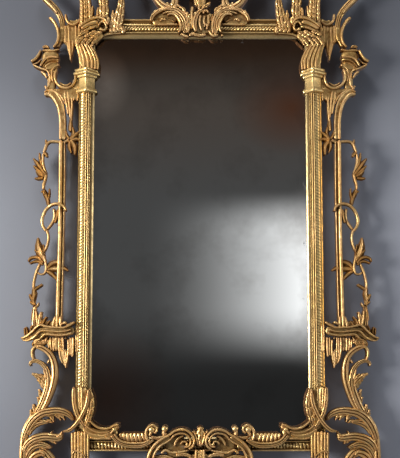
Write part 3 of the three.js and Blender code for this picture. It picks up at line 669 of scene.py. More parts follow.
@dataclass(frozen=True)
class GiltFinish:
    """Water gilding of one tone, with its own wear and its own strength of painted shade and soiling in the
    hollows.
    """

    name: str
    gold: tuple[float, float, float, float]
    deep: tuple[float, float, float, float]
    wear: float
    shade_and_grime: float

    def build(self, group: bpy.types.NodeTree) -> bpy.types.Material:
        """Puts the shared gilding group behind a Principled BSDF.

        Args:
            group: the gilding group.

        Returns:
            The material.
        """
        material, graph, shader = blank(self.name)
        leaf = graph.node("Group", node_tree=group)
        leaf.inputs["Gold"].default_value = self.gold
        leaf.inputs["Deep"].default_value = self.deep
        leaf.inputs["Wear"].default_value = self.wear
        leaf.inputs["Shade_and_Grime"].default_value = self.shade_and_grime
        outputs = leaf.outputs
        graph.join({
            "Base Color": outputs["Color"], "Roughness": outputs["Roughness"],
            "Metallic": outputs["Metallic"], "Normal": outputs["Normal"],
        }, shader)
        return material


@dataclass(frozen=True)
class PineFinish:
    """Bare pine, with its grain along one axis."""

    name: str
    along: tuple[float, float, float]

    def build(self, group: bpy.types.NodeTree) -> bpy.types.Material:
        """Puts the shared pine group behind a Principled BSDF.

        Args:
            group: the pine group.

        Returns:
            The material.
        """
        material, graph, shader = blank(self.name)
        wood = graph.node("Group", node_tree=group)
        wood.inputs["Along"].default_value = self.along
        outputs = wood.outputs
        graph.join({
            "Base Color": outputs["Color"], "Roughness": outputs["Roughness"],
            "Normal": outputs["Normal"],
        }, shader)
        return material


@dataclass(frozen=True)
class OldGlassFinish:
    """Old silvering: a dim clear middle, foxed and clouded towards the edges of the plate."""

    name: str = "old_mirror_glass"

    def build(self, half: float, low: float, high: float) -> bpy.types.Material:
        """Makes the finish for a plate.

        Args:
            half: half of the plate's width, in metres.
            low: the height of its foot.
            high: the height of its head.

        Returns:
            The material.
        """
        material, graph, shader = blank(self.name)
        where = graph.node("TexCoord").outputs["Object"]
        axes = graph.node("SeparateXYZ", {0: where}).outputs
        from_side = graph.math("SUBTRACT", half, graph.math("ABSOLUTE", axes[0]))
        from_foot = graph.math("SUBTRACT", axes[2], low)
        from_head = graph.math("SUBTRACT", high, axes[2])
        edge = graph.math("MINIMUM", from_side, graph.math("MINIMUM", from_foot, from_head))
        spots = graph.noise(where, 46.0, 8.0, 0.72)
        clouds = graph.noise(where, 6.0, 4.0, 0.6)
        reach = graph.ramp(edge, 0.0, 0.05, 0.17, 0.0)
        fox = graph.ramp(graph.math("ADD", spots, reach), 0.74, 0.86)
        haze = graph.ramp(graph.math("ADD", clouds, graph.math("MULTIPLY", reach, 0.9)), 0.5, 0.85)
        tint = graph.mix(haze, (0.66, 0.66, 0.64, 1), (0.42, 0.41, 0.39, 1))
        tint = graph.mix(graph.math("MULTIPLY", fox, 0.9), tint, (0.035, 0.028, 0.024, 1))
        graph.tree.links.new(tint, shader.inputs["Base Color"])
        rough = graph.math("ADD", graph.ramp(haze, 0.0, 1.0, 0.03, 0.10), graph.math("MULTIPLY", fox, 0.35))
        graph.tree.links.new(rough, shader.inputs["Roughness"])
        metal = graph.math("SUBTRACT", 1.0, graph.math("MULTIPLY", fox, 0.35))
        graph.tree.links.new(metal, shader.inputs["Metallic"])
        ripple = graph.noise(where, 2.2, 1.0)
        bump = graph.node("Bump", {"Strength": 0.05, "Distance": 0.004, "Height": ripple})
        graph.tree.links.new(bump.outputs[0], shader.inputs["Normal"])
        return material


@dataclass(frozen=True)
class IronFinish:
    """Blackened or dulled metal with rust in patches."""

    name: str
    color: tuple[float, float, float, float]
    metallic: float = 0.8

    def build(self) -> bpy.types.Material:
        """Mixes the metal with rust by noise.

        Returns:
            The material.
        """
        material, graph, shader = blank(self.name)
        where = graph.node("TexCoord").outputs["Object"]
        patches = graph.noise(where, 160.0, 6.0, 0.65)
        rust = graph.ramp(patches, 0.52, 0.66)
        tone = graph.mix(graph.math("MULTIPLY", rust, 0.7), self.color, (0.16, 0.06, 0.025, 1))
        graph.tree.links.new(tone, shader.inputs["Base Color"])
        graph.tree.links.new(graph.ramp(patches, 0.3, 0.7, 0.35, 0.7), shader.inputs["Roughness"])
        metal = graph.math("SUBTRACT", self.metallic, graph.math("MULTIPLY", rust, 0.6), clamp=True)
        graph.tree.links.new(metal, shader.inputs["Metallic"])
        bump = graph.node("Bump", {"Strength": 0.4, "Distance": 0.0006, "Height": patches})
        graph.tree.links.new(bump.outputs[0], shader.inputs["Normal"])
        return material


@dataclass(frozen=True)
class Finishes:
    """Every finish of the mirror, built once."""

    carved: bpy.types.Material
    moulded: bpy.types.Material
    burnished: bpy.types.Material
    boards: bpy.types.Material
    battens: bpy.types.Material
    braces: bpy.types.Material
    iron: bpy.types.Material
    steel: bpy.types.Material

    @classmethod
    def make(cls) -> "Finishes":
        """Builds the shared groups and each material from them.

        Returns:
            The finishes.
        """
        gilding, pine = gilding_group(), wood_group()
        # deep is the colour that hollows are darkened to, as painted shade and soiling, and the colour of the
        # fine grain; the last value sets how strongly hollows are darkened.
        carved = GiltFinish(
            "carved_gilding", gold=(0.86, 0.57, 0.20, 1), deep=(0.150, 0.054, 0.004, 1), wear=0.5, shade_and_grime=1.0,
        )
        moulded = GiltFinish(
            "moulded_gilding", gold=(0.90, 0.65, 0.26, 1), deep=(0.15, 0.070, 0.012, 1), wear=0.4, shade_and_grime=0.95,
        )
        burnished = GiltFinish(
            "burnished_gilding", gold=(0.70, 0.54, 0.27, 1), deep=(0.20, 0.11, 0.03, 1), wear=0.2, shade_and_grime=0.6,
        )
        return cls(
            carved=carved.build(gilding),
            moulded=moulded.build(gilding),
            burnished=burnished.build(gilding),
            boards=PineFinish("pine_boards", (40.0, 40.0, 2.0)).build(pine),
            battens=PineFinish("pine_battens", (2.0, 40.0, 40.0)).build(pine),
            braces=PineFinish("pine_braces", (46.0, 40.0, 2.4)).build(pine),
            iron=IronFinish("hanger_iron", (0.055, 0.05, 0.048, 1)).build(),
            steel=IronFinish("screw_steel", (0.24, 0.22, 0.20, 1), 0.9).build(),
        )


# ---- Frame mouldings ------------------------------------------------------------------------
@dataclass(frozen=True)
class Band:
    """One band of the moulding: from and to as shares of the face, its heights and its enrichment."""

    start: float
    end: float
    low: float
    high: float
    pattern: "Pattern"


class Pattern(Enum):
    """Enrichment of a band of the moulding."""

    BEAD = "a plain round bead"
    COVE = "a plain hollow"
    PEARLS = "slanting pearls"
    ROPE = "a rope twist"
    SHELLWORK = "uneven upright flutes"


@dataclass(frozen=True)
class Bar:
    """One bar of the frame, mitred at both ends.

    side is 1 for the right or upper bar and -1 for the left or lower one. start and end bound its
    bands, as shares of the face. fall is how much lower its outer edge lies, as a share of the depth.
    """

    name: str
    node: str
    side: int
    upright: bool
    face: float
    bands: tuple[Band, ...]
    fall: float = 0.0
    start: float = 0.0
    end: float = 34.0 / 42.0


STILE_FALL = 0.17
STILE_BANDS = (
    Band(0.0, 0.12, 0.95, 0.98, Pattern.BEAD),
    Band(0.12, 0.46, 0.87, 0.98, Pattern.PEARLS),
    Band(0.46, 0.54, 0.94, 1.0, Pattern.BEAD),
    Band(0.54, 0.60, 0.84, 0.76, Pattern.COVE),
    Band(0.60, 0.68, 0.88, 0.95, Pattern.BEAD),
    Band(0.68, 0.81, 0.74, 0.88, Pattern.ROPE),
)
HEAD_BANDS = (
    Band(0.0, 0.09, 0.88, 1.0, Pattern.BEAD),
    Band(0.09, 0.25, 0.86, 0.76, Pattern.COVE),
    Band(0.25, 0.38, 0.84, 0.90, Pattern.BEAD),
    Band(0.38, 0.65, 0.76, 0.98, Pattern.ROPE),
    Band(0.65, 0.71, 0.80, 0.74, Pattern.COVE),
    Band(0.71, 0.81, 0.82, 0.94, Pattern.BEAD),
)
FOOT_BANDS = (
    Band(0.0, 0.14, 0.88, 1.0, Pattern.BEAD),
    Band(0.14, 0.66, 0.68, 0.92, Pattern.SHELLWORK),
    Band(0.66, 0.81, 0.78, 0.93, Pattern.BEAD),
)


@dataclass(frozen=True)
class Moulding:
    """Sweeps the frame's bars with their enriched bands between mitres.

    Lengths are in millimetres: the depth, the pitch of the rings, the repeats of the patterns and
    the gap left at a mitre. wall is the height of the bar's inner side, as a share of the depth, and
    lip how far that side stops short of the bands' end, as a share of the face.
    """

    places: Places
    depth: float = 40.0
    pitch: float = 1.25
    pearl: float = 8.5
    twist: float = 9.0
    flute: float = 9.0
    mitre: float = 0.3
    wall: float = 0.8
    lip: float = 0.004

    def height(self, band: Band, v: np.ndarray, run: np.ndarray) -> np.ndarray:
        """Height of a band.

        A bead is a half-round of v. Pearls are a half-round of v times a row of ridges that lean.
        A rope is a half-round whose strands' phase grows along it and across it.

        Args:
            band: the band.
            v: place across it, from -1 to 1.
            run: place along the bar, in millimetres.

        Returns:
            The height as a share of the frame's depth.
        """
        round_v = np.sqrt(np.clip(1 - v**2, 0, 1))
        if band.pattern is Pattern.COVE:
            return band.low + (band.high - band.low) * round_v
        if band.pattern is Pattern.PEARLS:
            shape = round_v * (0.35 + 0.65 * ridge(run / self.pearl - 0.33 * v))
        elif band.pattern is Pattern.ROPE:
            shape = round_v * (0.42 + 0.58 * ridge(run / self.twist + 0.62 * v))
        elif band.pattern is Pattern.SHELLWORK:
            flutes = ridge(run / self.flute + 0.3 * np.sin(run / 31) + 0.15 * v)
            shape = round_v**0.6 * (0.3 + 0.5 * flutes + 0.2 * np.sin(run / 17.3 + 2 * v) ** 2)
        else:
            shape = round_v
        return band.low + (band.high - band.low) * shape

    def build(self, bar: Bar) -> Shell:
        """Sweeps one bar.

        Each ring is the bar's back and its bands at one share of the length between the mitres.

        Args:
            bar: the bar.

        Returns:
            Its closed shell.
        """
        shares, vs, owners = [], [], []
        for band in bar.bands:
            count = 5 if band.pattern in (Pattern.BEAD, Pattern.COVE) else 13
            v = -np.cos(np.linspace(0, np.pi, count + 2)[1:-1])
            shares += list(band.start + (v + 1) / 2 * (band.end - band.start))
            vs += list(v)
            owners += [band] * count
        shares = np.array(shares)
        p = self.places
        inside = bar.end - self.lip
        across = np.concatenate([[bar.start], shares, [inside, inside, bar.start]]) * bar.face
        if bar.upright:
            low = p.bottom + across * p.rail_bottom / p.stile + self.mitre
            high = p.top - across * p.rail_top / p.stile - self.mitre
        else:
            high = p.edge - across * p.stile / bar.face - self.mitre
            low = -high
        rings = int((high[0] - low[0]) / self.pitch)
        u = np.linspace(0, 1, rings)[:, None]
        run = low + (high - low) * u
        inner = run[:, 1:1 + len(shares)]
        heights = np.stack([
            self.height(band, np.full(rings, v), inner[:, i])
            for i, (band, v) in enumerate(zip(owners, vs))
        ], 1)
        # Dips and low bands of the moulding, its coves and grooves, get a high hollow value, painted shade
        # and soiling; its tops get a low one, for wear.
        cavity_shade_and_wear = spread(heights, 5) - heights
        low_lying = np.clip((0.96 - heights) * 3.2, 0, 0.6)
        heights = heights - bar.fall * (1 - shares / bar.end)
        y_front = p.back - self.depth * heights
        wall = p.back - self.depth * self.wall
        y = np.hstack([
            np.full((rings, 1), wall - 0.08 * self.depth), y_front,
            np.full((rings, 1), wall), np.full((rings, 2), p.back),
        ])
        spot = np.broadcast_to(across, run.shape)
        if bar.upright:
            points = np.stack([bar.side * (p.edge - spot), y, run], -1)
        else:
            zero = p.top if bar.side > 0 else p.bottom
            points = np.stack([run, y, zero - bar.side * spot], -1)
        hollow = np.zeros(y.shape)
        hollow[:, 1:-3] = np.clip(14 * cavity_shade_and_wear, -1, 1) + low_lying
        # Its outer side is darkened a little and its inner side and back more, as painted shade and soiling.
        hollow[:, 0] = 0.1
        hollow[:, -3:] = 0.5
        faces = tube_faces(rings, points.shape[1])
        return outward(Shell(points.reshape(-1, 3) * MM, faces, hollow.ravel()))

    def bars(self) -> list[Bar]:
        """The stiles and the rails.

        Returns:
            The four bars.
        """
        p = self.places
        return [
            Bar("stile_moulding_left", "stile_left", -1, True, p.stile, STILE_BANDS, STILE_FALL),
            Bar("stile_moulding_right", "stile_right", 1, True, p.stile, STILE_BANDS, STILE_FALL),
            Bar("rail_moulding_top", "rail_top", 1, False, p.rail_top, HEAD_BANDS),
            Bar("rail_moulding_bottom", "rail_bottom", -1, False, p.rail_bottom, FOOT_BANDS),
        ]


# ---- Carved ornaments -----------------------------------------------------------------------
@dataclass(frozen=True)
class Ornament:
    """Strokes that stand for one CAD node, or for a node on each side."""

    name: str
    strokes: list[Stroke]
    paired: bool = True
    extra: tuple[Shell, ...] = ()

    def build(self, material: bpy.types.Material, bare: bpy.types.Material) -> None:
        """Carves the strokes and puts them in the frame, with a mirrored copy if they're paired.

        Args:
            material: the gilding.
            bare: the ungilded wood of the back.
        """
        shells = [shell for stroke in self.strokes for shell in carve(stroke)] + list(self.extra)
        sides = {"": shells}
        if self.paired:
            sides = {"_right": shells, "_left": [mirrored(shell) for shell in shells]}
        for side, own in sides.items():
            carving = piece(self.name + "_carving" + side, own, material, bare)
            place(carving, "carved_gilding", self.name + side)


@dataclass(frozen=True)
class Carver:
    """Draws every ornament from the frame's lines."""

    places: Places
    crest_reach: float = 262.0
    shell_root: float = 128.0
    shell_rays: int = 7
    ray_turn: float = 0.36
    ray_flutes: int = 3

    def sides(self) -> list[Ornament]:
        """The rod, the shelf with its fringe, the scroll below it and the acanthus at the foot.

        Returns:
            The ornaments.
        """
        p = self.places
        foot, ledge, head = p.foot, p.on_shelf, p.head
        colonnette = [
            Stroke(head((89, -208), (76, -213), (62, -227), (52, -245), (46, -267), (43, -295), (42, -346)),
                   (14, 17, 17, 17, 15.5, 14, 14), GROUND, SIDE, (-5,)),
            Stroke(head((86, -204), (70, -208), (56, -223), (47, -243), (42, -264), (39, -290), (39, -346)),
                   (5.5, 6.5, 7.5, 7.5, 6.5, 6, 6), ROUND, SIDE, (-5,)),
            Stroke(head((98, -216), (87, -215), (77, -220), (67, -232), (59, -248), (54, -267), (51, -290),
                        (50, -346)),
                   (9.5, 12, 12.5, 12.5, 11, 10.5, 10, 10), ROUND, SIDE, (-2,)),
            Stroke(foot((44, 854), (43, 685), (44, 518), (46, 358)),
                   (13, 12.5, 12.5, 12.5), GROUND, SIDE, (-12,)),
            Stroke(foot((49.5, 854), (48.5, 685), (48.5, 545), (50.5, 435), (51.5, 358)),
                   (11.5,), ROUND, SIDE),
            Stroke(foot((39, 854), (38, 685), (39, 545), (40, 435), (41, 348)),
                   (4.8, 4.8, 5, 5, 5), ROUND, SIDE, (-7,)),
        ]
        shelf = [
            Stroke(ledge((114, 0), (98, 17), (71, 20), (41, 21)), (24.5, 35.5, 22, 19), GROUND, SIDE, (-8,)),
            Stroke(ledge((116, 5), (116, 32), (114, 60), (113, 73)), (11, 12, 11, 5.5), BANDS, SIDE, (-5,)),
            Stroke(ledge((102, 13), (107, 35), (109, 60)), (7, 7.5, 4.5), ROUND, SIDE, (-1,)),
            Stroke(ledge((100, 16), (99, 38), (95, 58)), (8, 12.5, 6), LEAF, SIDE, (-1,), 3),
            Stroke(ledge((93, 19), (89, 32), (80, 44)), (8, 11.5, 5), BLADE, SIDE),
            Stroke(ledge((82, 13), (78, 25), (71, 33)), (8, 9.5, 4.5), BLADE, SIDE, (-2,)),
            Stroke(ledge((132, -6), (134, 8), (137, 17)), (7, 7.5, 4), BLADE, SIDE),
            Stroke(ledge((139, -8), (140, 5), (141, 14)), (5.5, 6.5, 4), BLADE, SIDE, (-2,)),
            Stroke(ledge((123, 0), (123, 10), (120, 21)), (8, 8, 4.5), BLADE, SIDE, (1,)),
            Stroke(ledge((64, 10), (62, 25), (56, 45)), (8, 11, 8), ROUND, SIDE, (-1,)),
            Stroke(ledge((52, 10), (52, 30), (51, 51)), (8, 10, 10), ROUND, SIDE, (1,)),
            Stroke(ledge((40, 10), (43, 27), (43, 46)), (8, 9, 6.5), ROUND, SIDE, (-1,)),
            Stroke(ledge((41, 21), (36, 25), (30, 27)), (6.5, 8, 8), ROUND, SIDE, (2,), boss=4.5),
            Stroke(ledge((26, 21), (18, 22), (11, 28)), (5.5, 7, 5), ROUND, SIDE, (2,)),
            Stroke(ledge((150, -17), (133, -16), (114, -8), (98, 2), (82, 4), (60, 2), (38, 1), (19, 4),
                         (4, 9)),
                   (7, 12.5, 19, 26, 26, 23.5, 23.5, 23.5, 23.5), GROUND, SHELF, (-14, -1, 2, 3, 3, 2), 3),
            Stroke(ledge((151, -15), (140, -12), (128, -5), (117, 4), (107, 14), (96, 21), (82, 18), (66, 15),
                         (46, 14), (31, 14), (18, 19), (9, 24), (2, 30)),
                   (5, 6, 6.5, 6.5, 6.5, 7, 6.5, 6.5, 6.5, 6.5, 6.5, 6.5, 6.5), ROUND, SHELF,
                   (-6, 8, 16, 17, 17, 14)),
            Stroke(ledge((147, -19), (134, -21), (122, -17), (109, -9), (100, 1), (90, 6), (71, 5), (49, 3),
                         (30, 4), (11, 9)),
                   (4, 5.5, 6, 6, 6, 6, 6, 6, 6, 6), ROUND, SHELF, (-8, 4, 11, 14, 15, 13)),
            Stroke(ledge((117, -21), (100, -18), (91, -11), (82, -4), (65, -5), (43, -7), (24, -5), (7, 0)),
                   (4.5, 5.5, 6, 6.5, 6.5, 6.5, 6.5, 6.5), ROUND, SHELF, (-4, 8, 13, 15, 13)),
            Stroke(ledge((-3, 24), (-3, -14), (-3, -55)), (13.5, 15.5, 11), REEDS, SIDE, (-4,)),
        ]
        fringe = [
            Stroke(ledge((117, -22), (98, -24), (79, -24)), (19, 24.5, 24.5), GROUND, SIDE, (-3,)),
            Stroke(ledge((71, -28), (51, -29), (33, -28)), (38, 43.5, 38), GROUND, SIDE, (-3,)),
            Stroke(ledge((20, -28), (5, -28)), (38, 41), GROUND, SIDE, (-3,)),
            Stroke(ledge((32, -44), (32, -63), (27, -90)), (23, 20, 8), GROUND, SIDE, (-3,)),
            Stroke(ledge((69, -11), (69, -33), (66, -49)), (7, 7, 5.5), ROUND, SIDE, (-3,)),
            Stroke(ledge((61, -11), (61, -33), (60, -51)), (6.5, 6.5, 5.5), ROUND, SIDE, (-2,)),
            Stroke(ledge((53, -11), (53, -33), (52, -50)), (8, 8, 6), ROUND, SIDE, (-3,)),
            Stroke(ledge((45, -11), (45, -44), (41, -68), (35, -83)), (6, 6.5, 6.5, 4), ROUND, SIDE),
            Stroke(ledge((39, -11), (40, -38), (38, -63), (32, -82)), (5.5, 5.5, 5.5, 4), ROUND, SIDE, (-3,)),
            Stroke(ledge((35, -11), (34, -36), (33, -60), (29, -84)), (5, 5, 6, 5.5), ROUND, SIDE, (-2,)),
            Stroke(ledge((26, -48), (27, -66), (27, -79), (26, -96)), (6.5, 8, 8, 4), ROUND, SIDE, (-1,)),
            Stroke(ledge((21, -17), (20, -47), (22, -68), (24, -84)), (6, 6.5, 5.5, 4), ROUND, SIDE),
            Stroke(ledge((15, -11), (14, -41), (15, -63)), (6, 6, 5), ROUND, SIDE, (-2,)),
            Stroke(ledge((8, -11), (8, -41), (9, -66)), (7.5, 8, 6), ROUND, SIDE),
            Stroke(ledge((28, -11), (28, -18)), (10, 8), ROUND, SIDE, (-4,)),
            Stroke(ledge((77, -10), (81, -18), (81, -26)), (5.5, 7, 4.5), ROUND, SIDE),
            Stroke(ledge((76, -17), (74, -30), (73, -43)), (5, 6, 4.5), ROUND, SIDE, (-2,)),
            Stroke(ledge((88, -16), (87, -24), (84, -31)), (6.5, 8, 5.5), LEAF, SIDE, (-1,)),
            Stroke(ledge((97, -21), (96, -27), (95, -33)), (6, 7.5, 5), BLADE, SIDE, (-1,)),
            Stroke(ledge((106, -22), (107, -28), (107, -35)), (6.5, 7.5, 5), BLADE, SIDE, (-1,)),
            Stroke(ledge((115, -24), (117, -30), (117, -37)), (6.5, 7, 4.5), BLADE, SIDE, (-2,)),
        ]
        under = [
            Stroke(foot((118, 292), (103, 292), (87, 294), (76, 299)),
                   (16.5, 22, 19, 13.5), LEAF, SIDE, (-2,), 6),
            Stroke(foot((109, 304), (92, 305), (76, 307)), (16.5, 19, 13.5), GADROON, SIDE, (-4,), 5),
            Stroke(foot((99, 166), (93, 147), (88, 123)), (5.5, 13.5, 16.5), LEAF, SIDE, (-4,), 3),
            Stroke(foot((102, 146), (96, 131), (90, 112)), (5.5, 12, 13.5), LEAF, SIDE, (-2,), 3),
            Stroke(foot((113, 126), (109, 111), (101, 96)), (5.5, 13.5, 16.5), LEAF, SIDE, (0,), 3),
            Stroke(foot((120, 112), (117, 98), (110, 80)), (5.5, 12, 13.5), LEAF, SIDE, (-2,), 3),
            Stroke(foot((104, 192), (93, 184), (81, 166)), (5.5, 13.5, 16.5), LEAF, SIDE, (-1,), 3),
            Stroke(foot((118, 208), (103, 201), (88, 189), (77, 169)),
                   (5.5, 15, 19, 16.5), LEAF, SIDE, (2,), 4),
            Stroke(foot((96, 207), (88, 200), (80, 188)), (4, 8, 11), LEAF, SIDE, (3,)),
            Stroke(foot((85, 219), (82, 207), (78, 190)), (4, 8, 9.5), ROUND, SIDE, (3,)),
            Stroke(foot((123, 227), (123, 236), (113, 242), (99, 239), (88, 231), (79, 219), (74, 201),
                        (73, 182), (76, 161), (83, 139), (92, 118), (104, 99)),
                   (4, 8, 11, 12, 13.5, 15, 17.5, 22, 24.5, 26, 24.5, 19), BANDS, SIDE, (0, 2, 4), 3),
            Stroke(foot((76, 235), (70, 246)), (8, 4), ROUND, SIDE, (2,)),
            Stroke(foot((97, 279), (109, 281), (117, 272), (118, 258), (113, 243)),
                   (8, 10.5, 9.5, 9, 7), ROUND, SIDE, (2,)),
            Stroke(foot((108, 280), (95, 278), (80, 270), (67, 257), (59, 239), (56, 220), (56, 198),
                        (60, 176), (67, 153), (76, 129), (89, 107)),
                   (11, 15, 16.5, 17.5, 19, 20, 20, 19, 17.5, 15, 11), BANDS, SIDE, (4,)),
        ]
        acanthus = [
            Stroke(foot((46, -50), (65, -21), (82, -2), (98, 3)),
                   (21.5, 27, 24.5, 13.5), BANDS, SIDE, (-6,), 3),
            Stroke(foot((105, 110), (113, 96), (122, 80), (131, 62), (136, 40), (138, 19), (139, -7),
                        (138, -39), (130, -76), (110, -102), (83, -108), (68, -96), (70, -81)),
                   (13.5, 16, 19, 20, 21.5, 21.5, 21.5, 21.5, 20, 19, 15, 12, 8), BANDS, SIDE,
                   (-6, 0, 2, 2, -4)),
            Stroke(foot((140, -39), (119, -29), (98, -26), (81, -33)), (16, 19, 16, 5.5), BANDS, SIDE),
            Stroke(foot((122, -34), (113, -17), (101, -8), (88, -6), (79, -13)),
                   (16, 21.5, 21.5, 17.5, 8), BANDS, SIDE, (-2,)),
            Stroke(foot((90, 13), (82, 8), (74, 2)), (8, 8, 2.5), LEAF, SIDE, (-4,)),
            Stroke(foot((131, -18), (122, 2), (108, 14), (90, 18), (74, 14), (61, 9)),
                   (16, 21.5, 21.5, 20, 15, 5.5), BANDS, SIDE, (1,), 3),
            Stroke(foot((68, 32), (56, 26), (49, 19)), (12, 12, 2.5), LEAF, SIDE),
            Stroke(foot((66, 40), (60, 54)), (9.5, 2.5), LEAF, SIDE, (2,)),
            Stroke(foot((45, 34), (38, 27)), (12, 5.5), LEAF, SIDE),
            Stroke(foot((49, 39), (37, 43), (33, 54)), (13.5, 12, 2.5), LEAF, SIDE, (3,)),
            Stroke(foot((137, -5), (127, 17), (112, 30), (96, 36), (77, 39), (58, 37), (42, 36), (32, 40)),
                   (16, 23, 25.5, 24.5, 23, 23, 21.5, 11), BANDS, SIDE, (2, 6, 6, 2), 3),
            Stroke(foot((78, 82), (68, 80), (59, 75)), (11, 9.5, 2.5), LEAF, SIDE),
            Stroke(foot((128, 43), (117, 63), (102, 74), (86, 78), (70, 78)),
                   (16, 21.5, 20.5, 16, 8), BANDS, SIDE, (2,), 3),
            Stroke(foot((73, 100), (62, 91), (56, 77)), (11, 12, 2.5), LEAF, SIDE, (1,)),
            Stroke(foot((58, 100), (45, 93), (37, 82)), (11, 11, 2.5), LEAF, SIDE, (1,)),
            Stroke(foot((46, 102), (35, 95), (26, 82)), (11, 11, 2.5), LEAF, SIDE, (1,)),
            Stroke(foot((138, 27), (130, 52), (118, 75), (104, 91), (86, 102), (67, 106), (48, 108),
                        (31, 105), (16, 98), (2, 82)),
                   (16.5, 21.5, 25.5, 25.5, 24.5, 23, 21.5, 20.5, 17.5, 7), BANDS, SIDE, (2, 6, 9, 9, 5, 2),
                   3),
        ]
        return [
            Ornament("colonnette", colonnette), Ornament("shelf", shelf), Ornament("shelf_fringe", fringe),
            Ornament("under_scroll", under), Ornament("lower_acanthus", acanthus),
        ]

    def corners(self) -> list[Ornament]:
        """The crossed rushes, the drip under the corner and the bottom rail's scrolls.

        Returns:
            The ornaments.
        """
        foot = self.places.foot
        rushes = [
            Stroke(foot((-12, 174), (-13, 137), (-15, 99)), (24.5, 21.5, 13.5), REEDS, OVER, (-6,), 3),
            Stroke(foot((-24, 169), (-30, 137), (-25, 104)), (19, 21.5, 16.5), GROUND, OVER, (-8,)),
            Stroke(foot((-25, 94), (-28, 75), (-31, 56)), (24.5, 32.5, 35), GROUND, OVER, (-6,)),
            Stroke(foot((-29, 56), (-37, 83), (-44, 112), (-45, 139), (-41, 169)),
                   (13.5, 19, 21.5, 19, 5.5), BANDS, OVER, (-2,), 3, lobes=5),
            Stroke(foot((-32, 62), (-32, 88), (-32, 126), (-31, 163)), (8, 10, 10, 4.5), BLADE, OVER, (-3,)),
            Stroke(foot((2, 172), (2, 150), (0, 126), (-6, 103), (-16, 83), (-29, 64)),
                   (8, 12.5, 13, 13, 12, 8), BANDS, APPLIED),
            Stroke(foot((30, 54), (15, 56), (0, 67), (-13, 83), (-24, 102), (-33, 123), (-37, 145),
                        (-38, 166)),
                   (4, 10.5, 12, 12, 12, 12, 11.5, 4.5), BANDS, APPLIED, (2,)),
        ]
        drip = [
            Stroke(foot((-17, 51), (-18, 19), (-18, -13)), (48.5, 48.5, 40.5), GROUND, APPLIED, (-4,)),
            Stroke(foot((5, 51), (4, 14), (3, -31)), (8.5, 8.5, 6.5), ROUND, APPLIED, (-2,)),
            Stroke(foot((-3, 54), (-4, 9), (-5, -44)), (8.5, 8.5, 6), ROUND, APPLIED),
            Stroke(foot((-12, 56), (-13, 3), (-14, -60)), (9, 9, 6), ROUND, APPLIED, (1,)),
            Stroke(foot((-21, 54), (-21, 6), (-22, -52)), (9, 9, 6), ROUND, APPLIED),
            Stroke(foot((-29, 54), (-30, 11), (-30, -37)), (8.5, 8.5, 6), ROUND, APPLIED, (-1,)),
            Stroke(foot((-38, 51), (-38, 17), (-38, -21)), (8, 8, 6), ROUND, APPLIED, (-3,)),
            Stroke(foot((5, -7), (-4, 2), (-17, -1), (-33, -14)), (4.5, 6, 6, 4.5), ROUND, APPLIED, (3,)),
        ]
        scroll = [
            Stroke(foot((-25, 64), (-47, 50), (-71, 44), (-96, 47), (-117, 56)),
                   (21.5, 27, 27, 27, 21.5), GROUND, OVER, (-3,)),
            Stroke(foot((-42, 37), (-61, 34), (-80, 36), (-101, 34)), (5.5, 7, 6.5, 7), ROUND, OVER, (-2,)),
            Stroke(foot((-82, 38), (-96, 43)), (11,), BLADE, OVER),
            Stroke(foot((-119, 43), (-142, 38), (-163, 37), (-185, 38), (-203, 42)),
                   (16, 23, 25.5, 23, 16), GADROON, OVER, (-2,), 8),
            Stroke(foot((-207, 39), (-223, 36), (-239, 38), (-251, 48)),
                   (8, 9.5, 9, 5.5), BANDS, OVER, (-1,)),
            Stroke(foot((-249, 38), (-242, 48), (-244, 60)), (12, 13.5, 10), ROUND, OVER, (1,), boss=8.5),
            Stroke(foot((-25, 60), (-42, 49), (-61, 43), (-80, 43), (-96, 49)),
                   (6.5, 8, 8.5, 8.5, 6.5), ROUND, APPLIED, (-2,)),
            Stroke(foot((-29, 72), (-46, 59), (-63, 52), (-82, 51), (-98, 55)),
                   (5.5, 6, 6, 6, 5), ROUND, APPLIED),
            Stroke(foot((-43, 82), (-55, 71), (-69, 63), (-85, 61), (-98, 64), (-109, 70), (-121, 71)),
                   (5, 6.5, 7, 7, 7, 8, 8), ROUND, APPLIED, (5,)),
            Stroke(foot((-102, 58), (-112, 63), (-122, 66)), (11, 13.5, 12.5), ROUND, APPLIED, (2,)),
            Stroke(foot((-98, 47), (-105, 55), (-109, 59)), (8,), ROUND, APPLIED, (4,), boss=6),
            Stroke(foot((-101, 44), (-115, 28), (-134, 18), (-158, 14), (-182, 15), (-201, 23), (-215, 32)),
                   (8, 9, 9.5, 9.5, 9.5, 9, 6.5), BANDS, OVER, (4,)),
            Stroke(foot((-108, 48), (-120, 34), (-135, 26), (-155, 23), (-177, 23), (-193, 26), (-206, 33)),
                   (5.5, 6, 6, 6, 6, 6, 5), ROUND, OVER, (7,)),
            Stroke(foot((-199, 27), (-194, 42), (-195, 56), (-203, 67), (-213, 70), (-222, 64), (-222, 54),
                        (-215, 49)),
                   (9, 9, 8.5, 8, 8, 7.5, 7, 5.5), ROUND, APPLIED, (4,)),
            Stroke(foot((-203, 40), (-207, 51), (-209, 58)), (8, 11, 12), ROUND, APPLIED, (2,), boss=9),
        ]
        return [
            Ornament("crossed_rushes", rushes), Ornament("corner_drip", drip),
            Ornament("bottom_scroll", scroll),
        ]

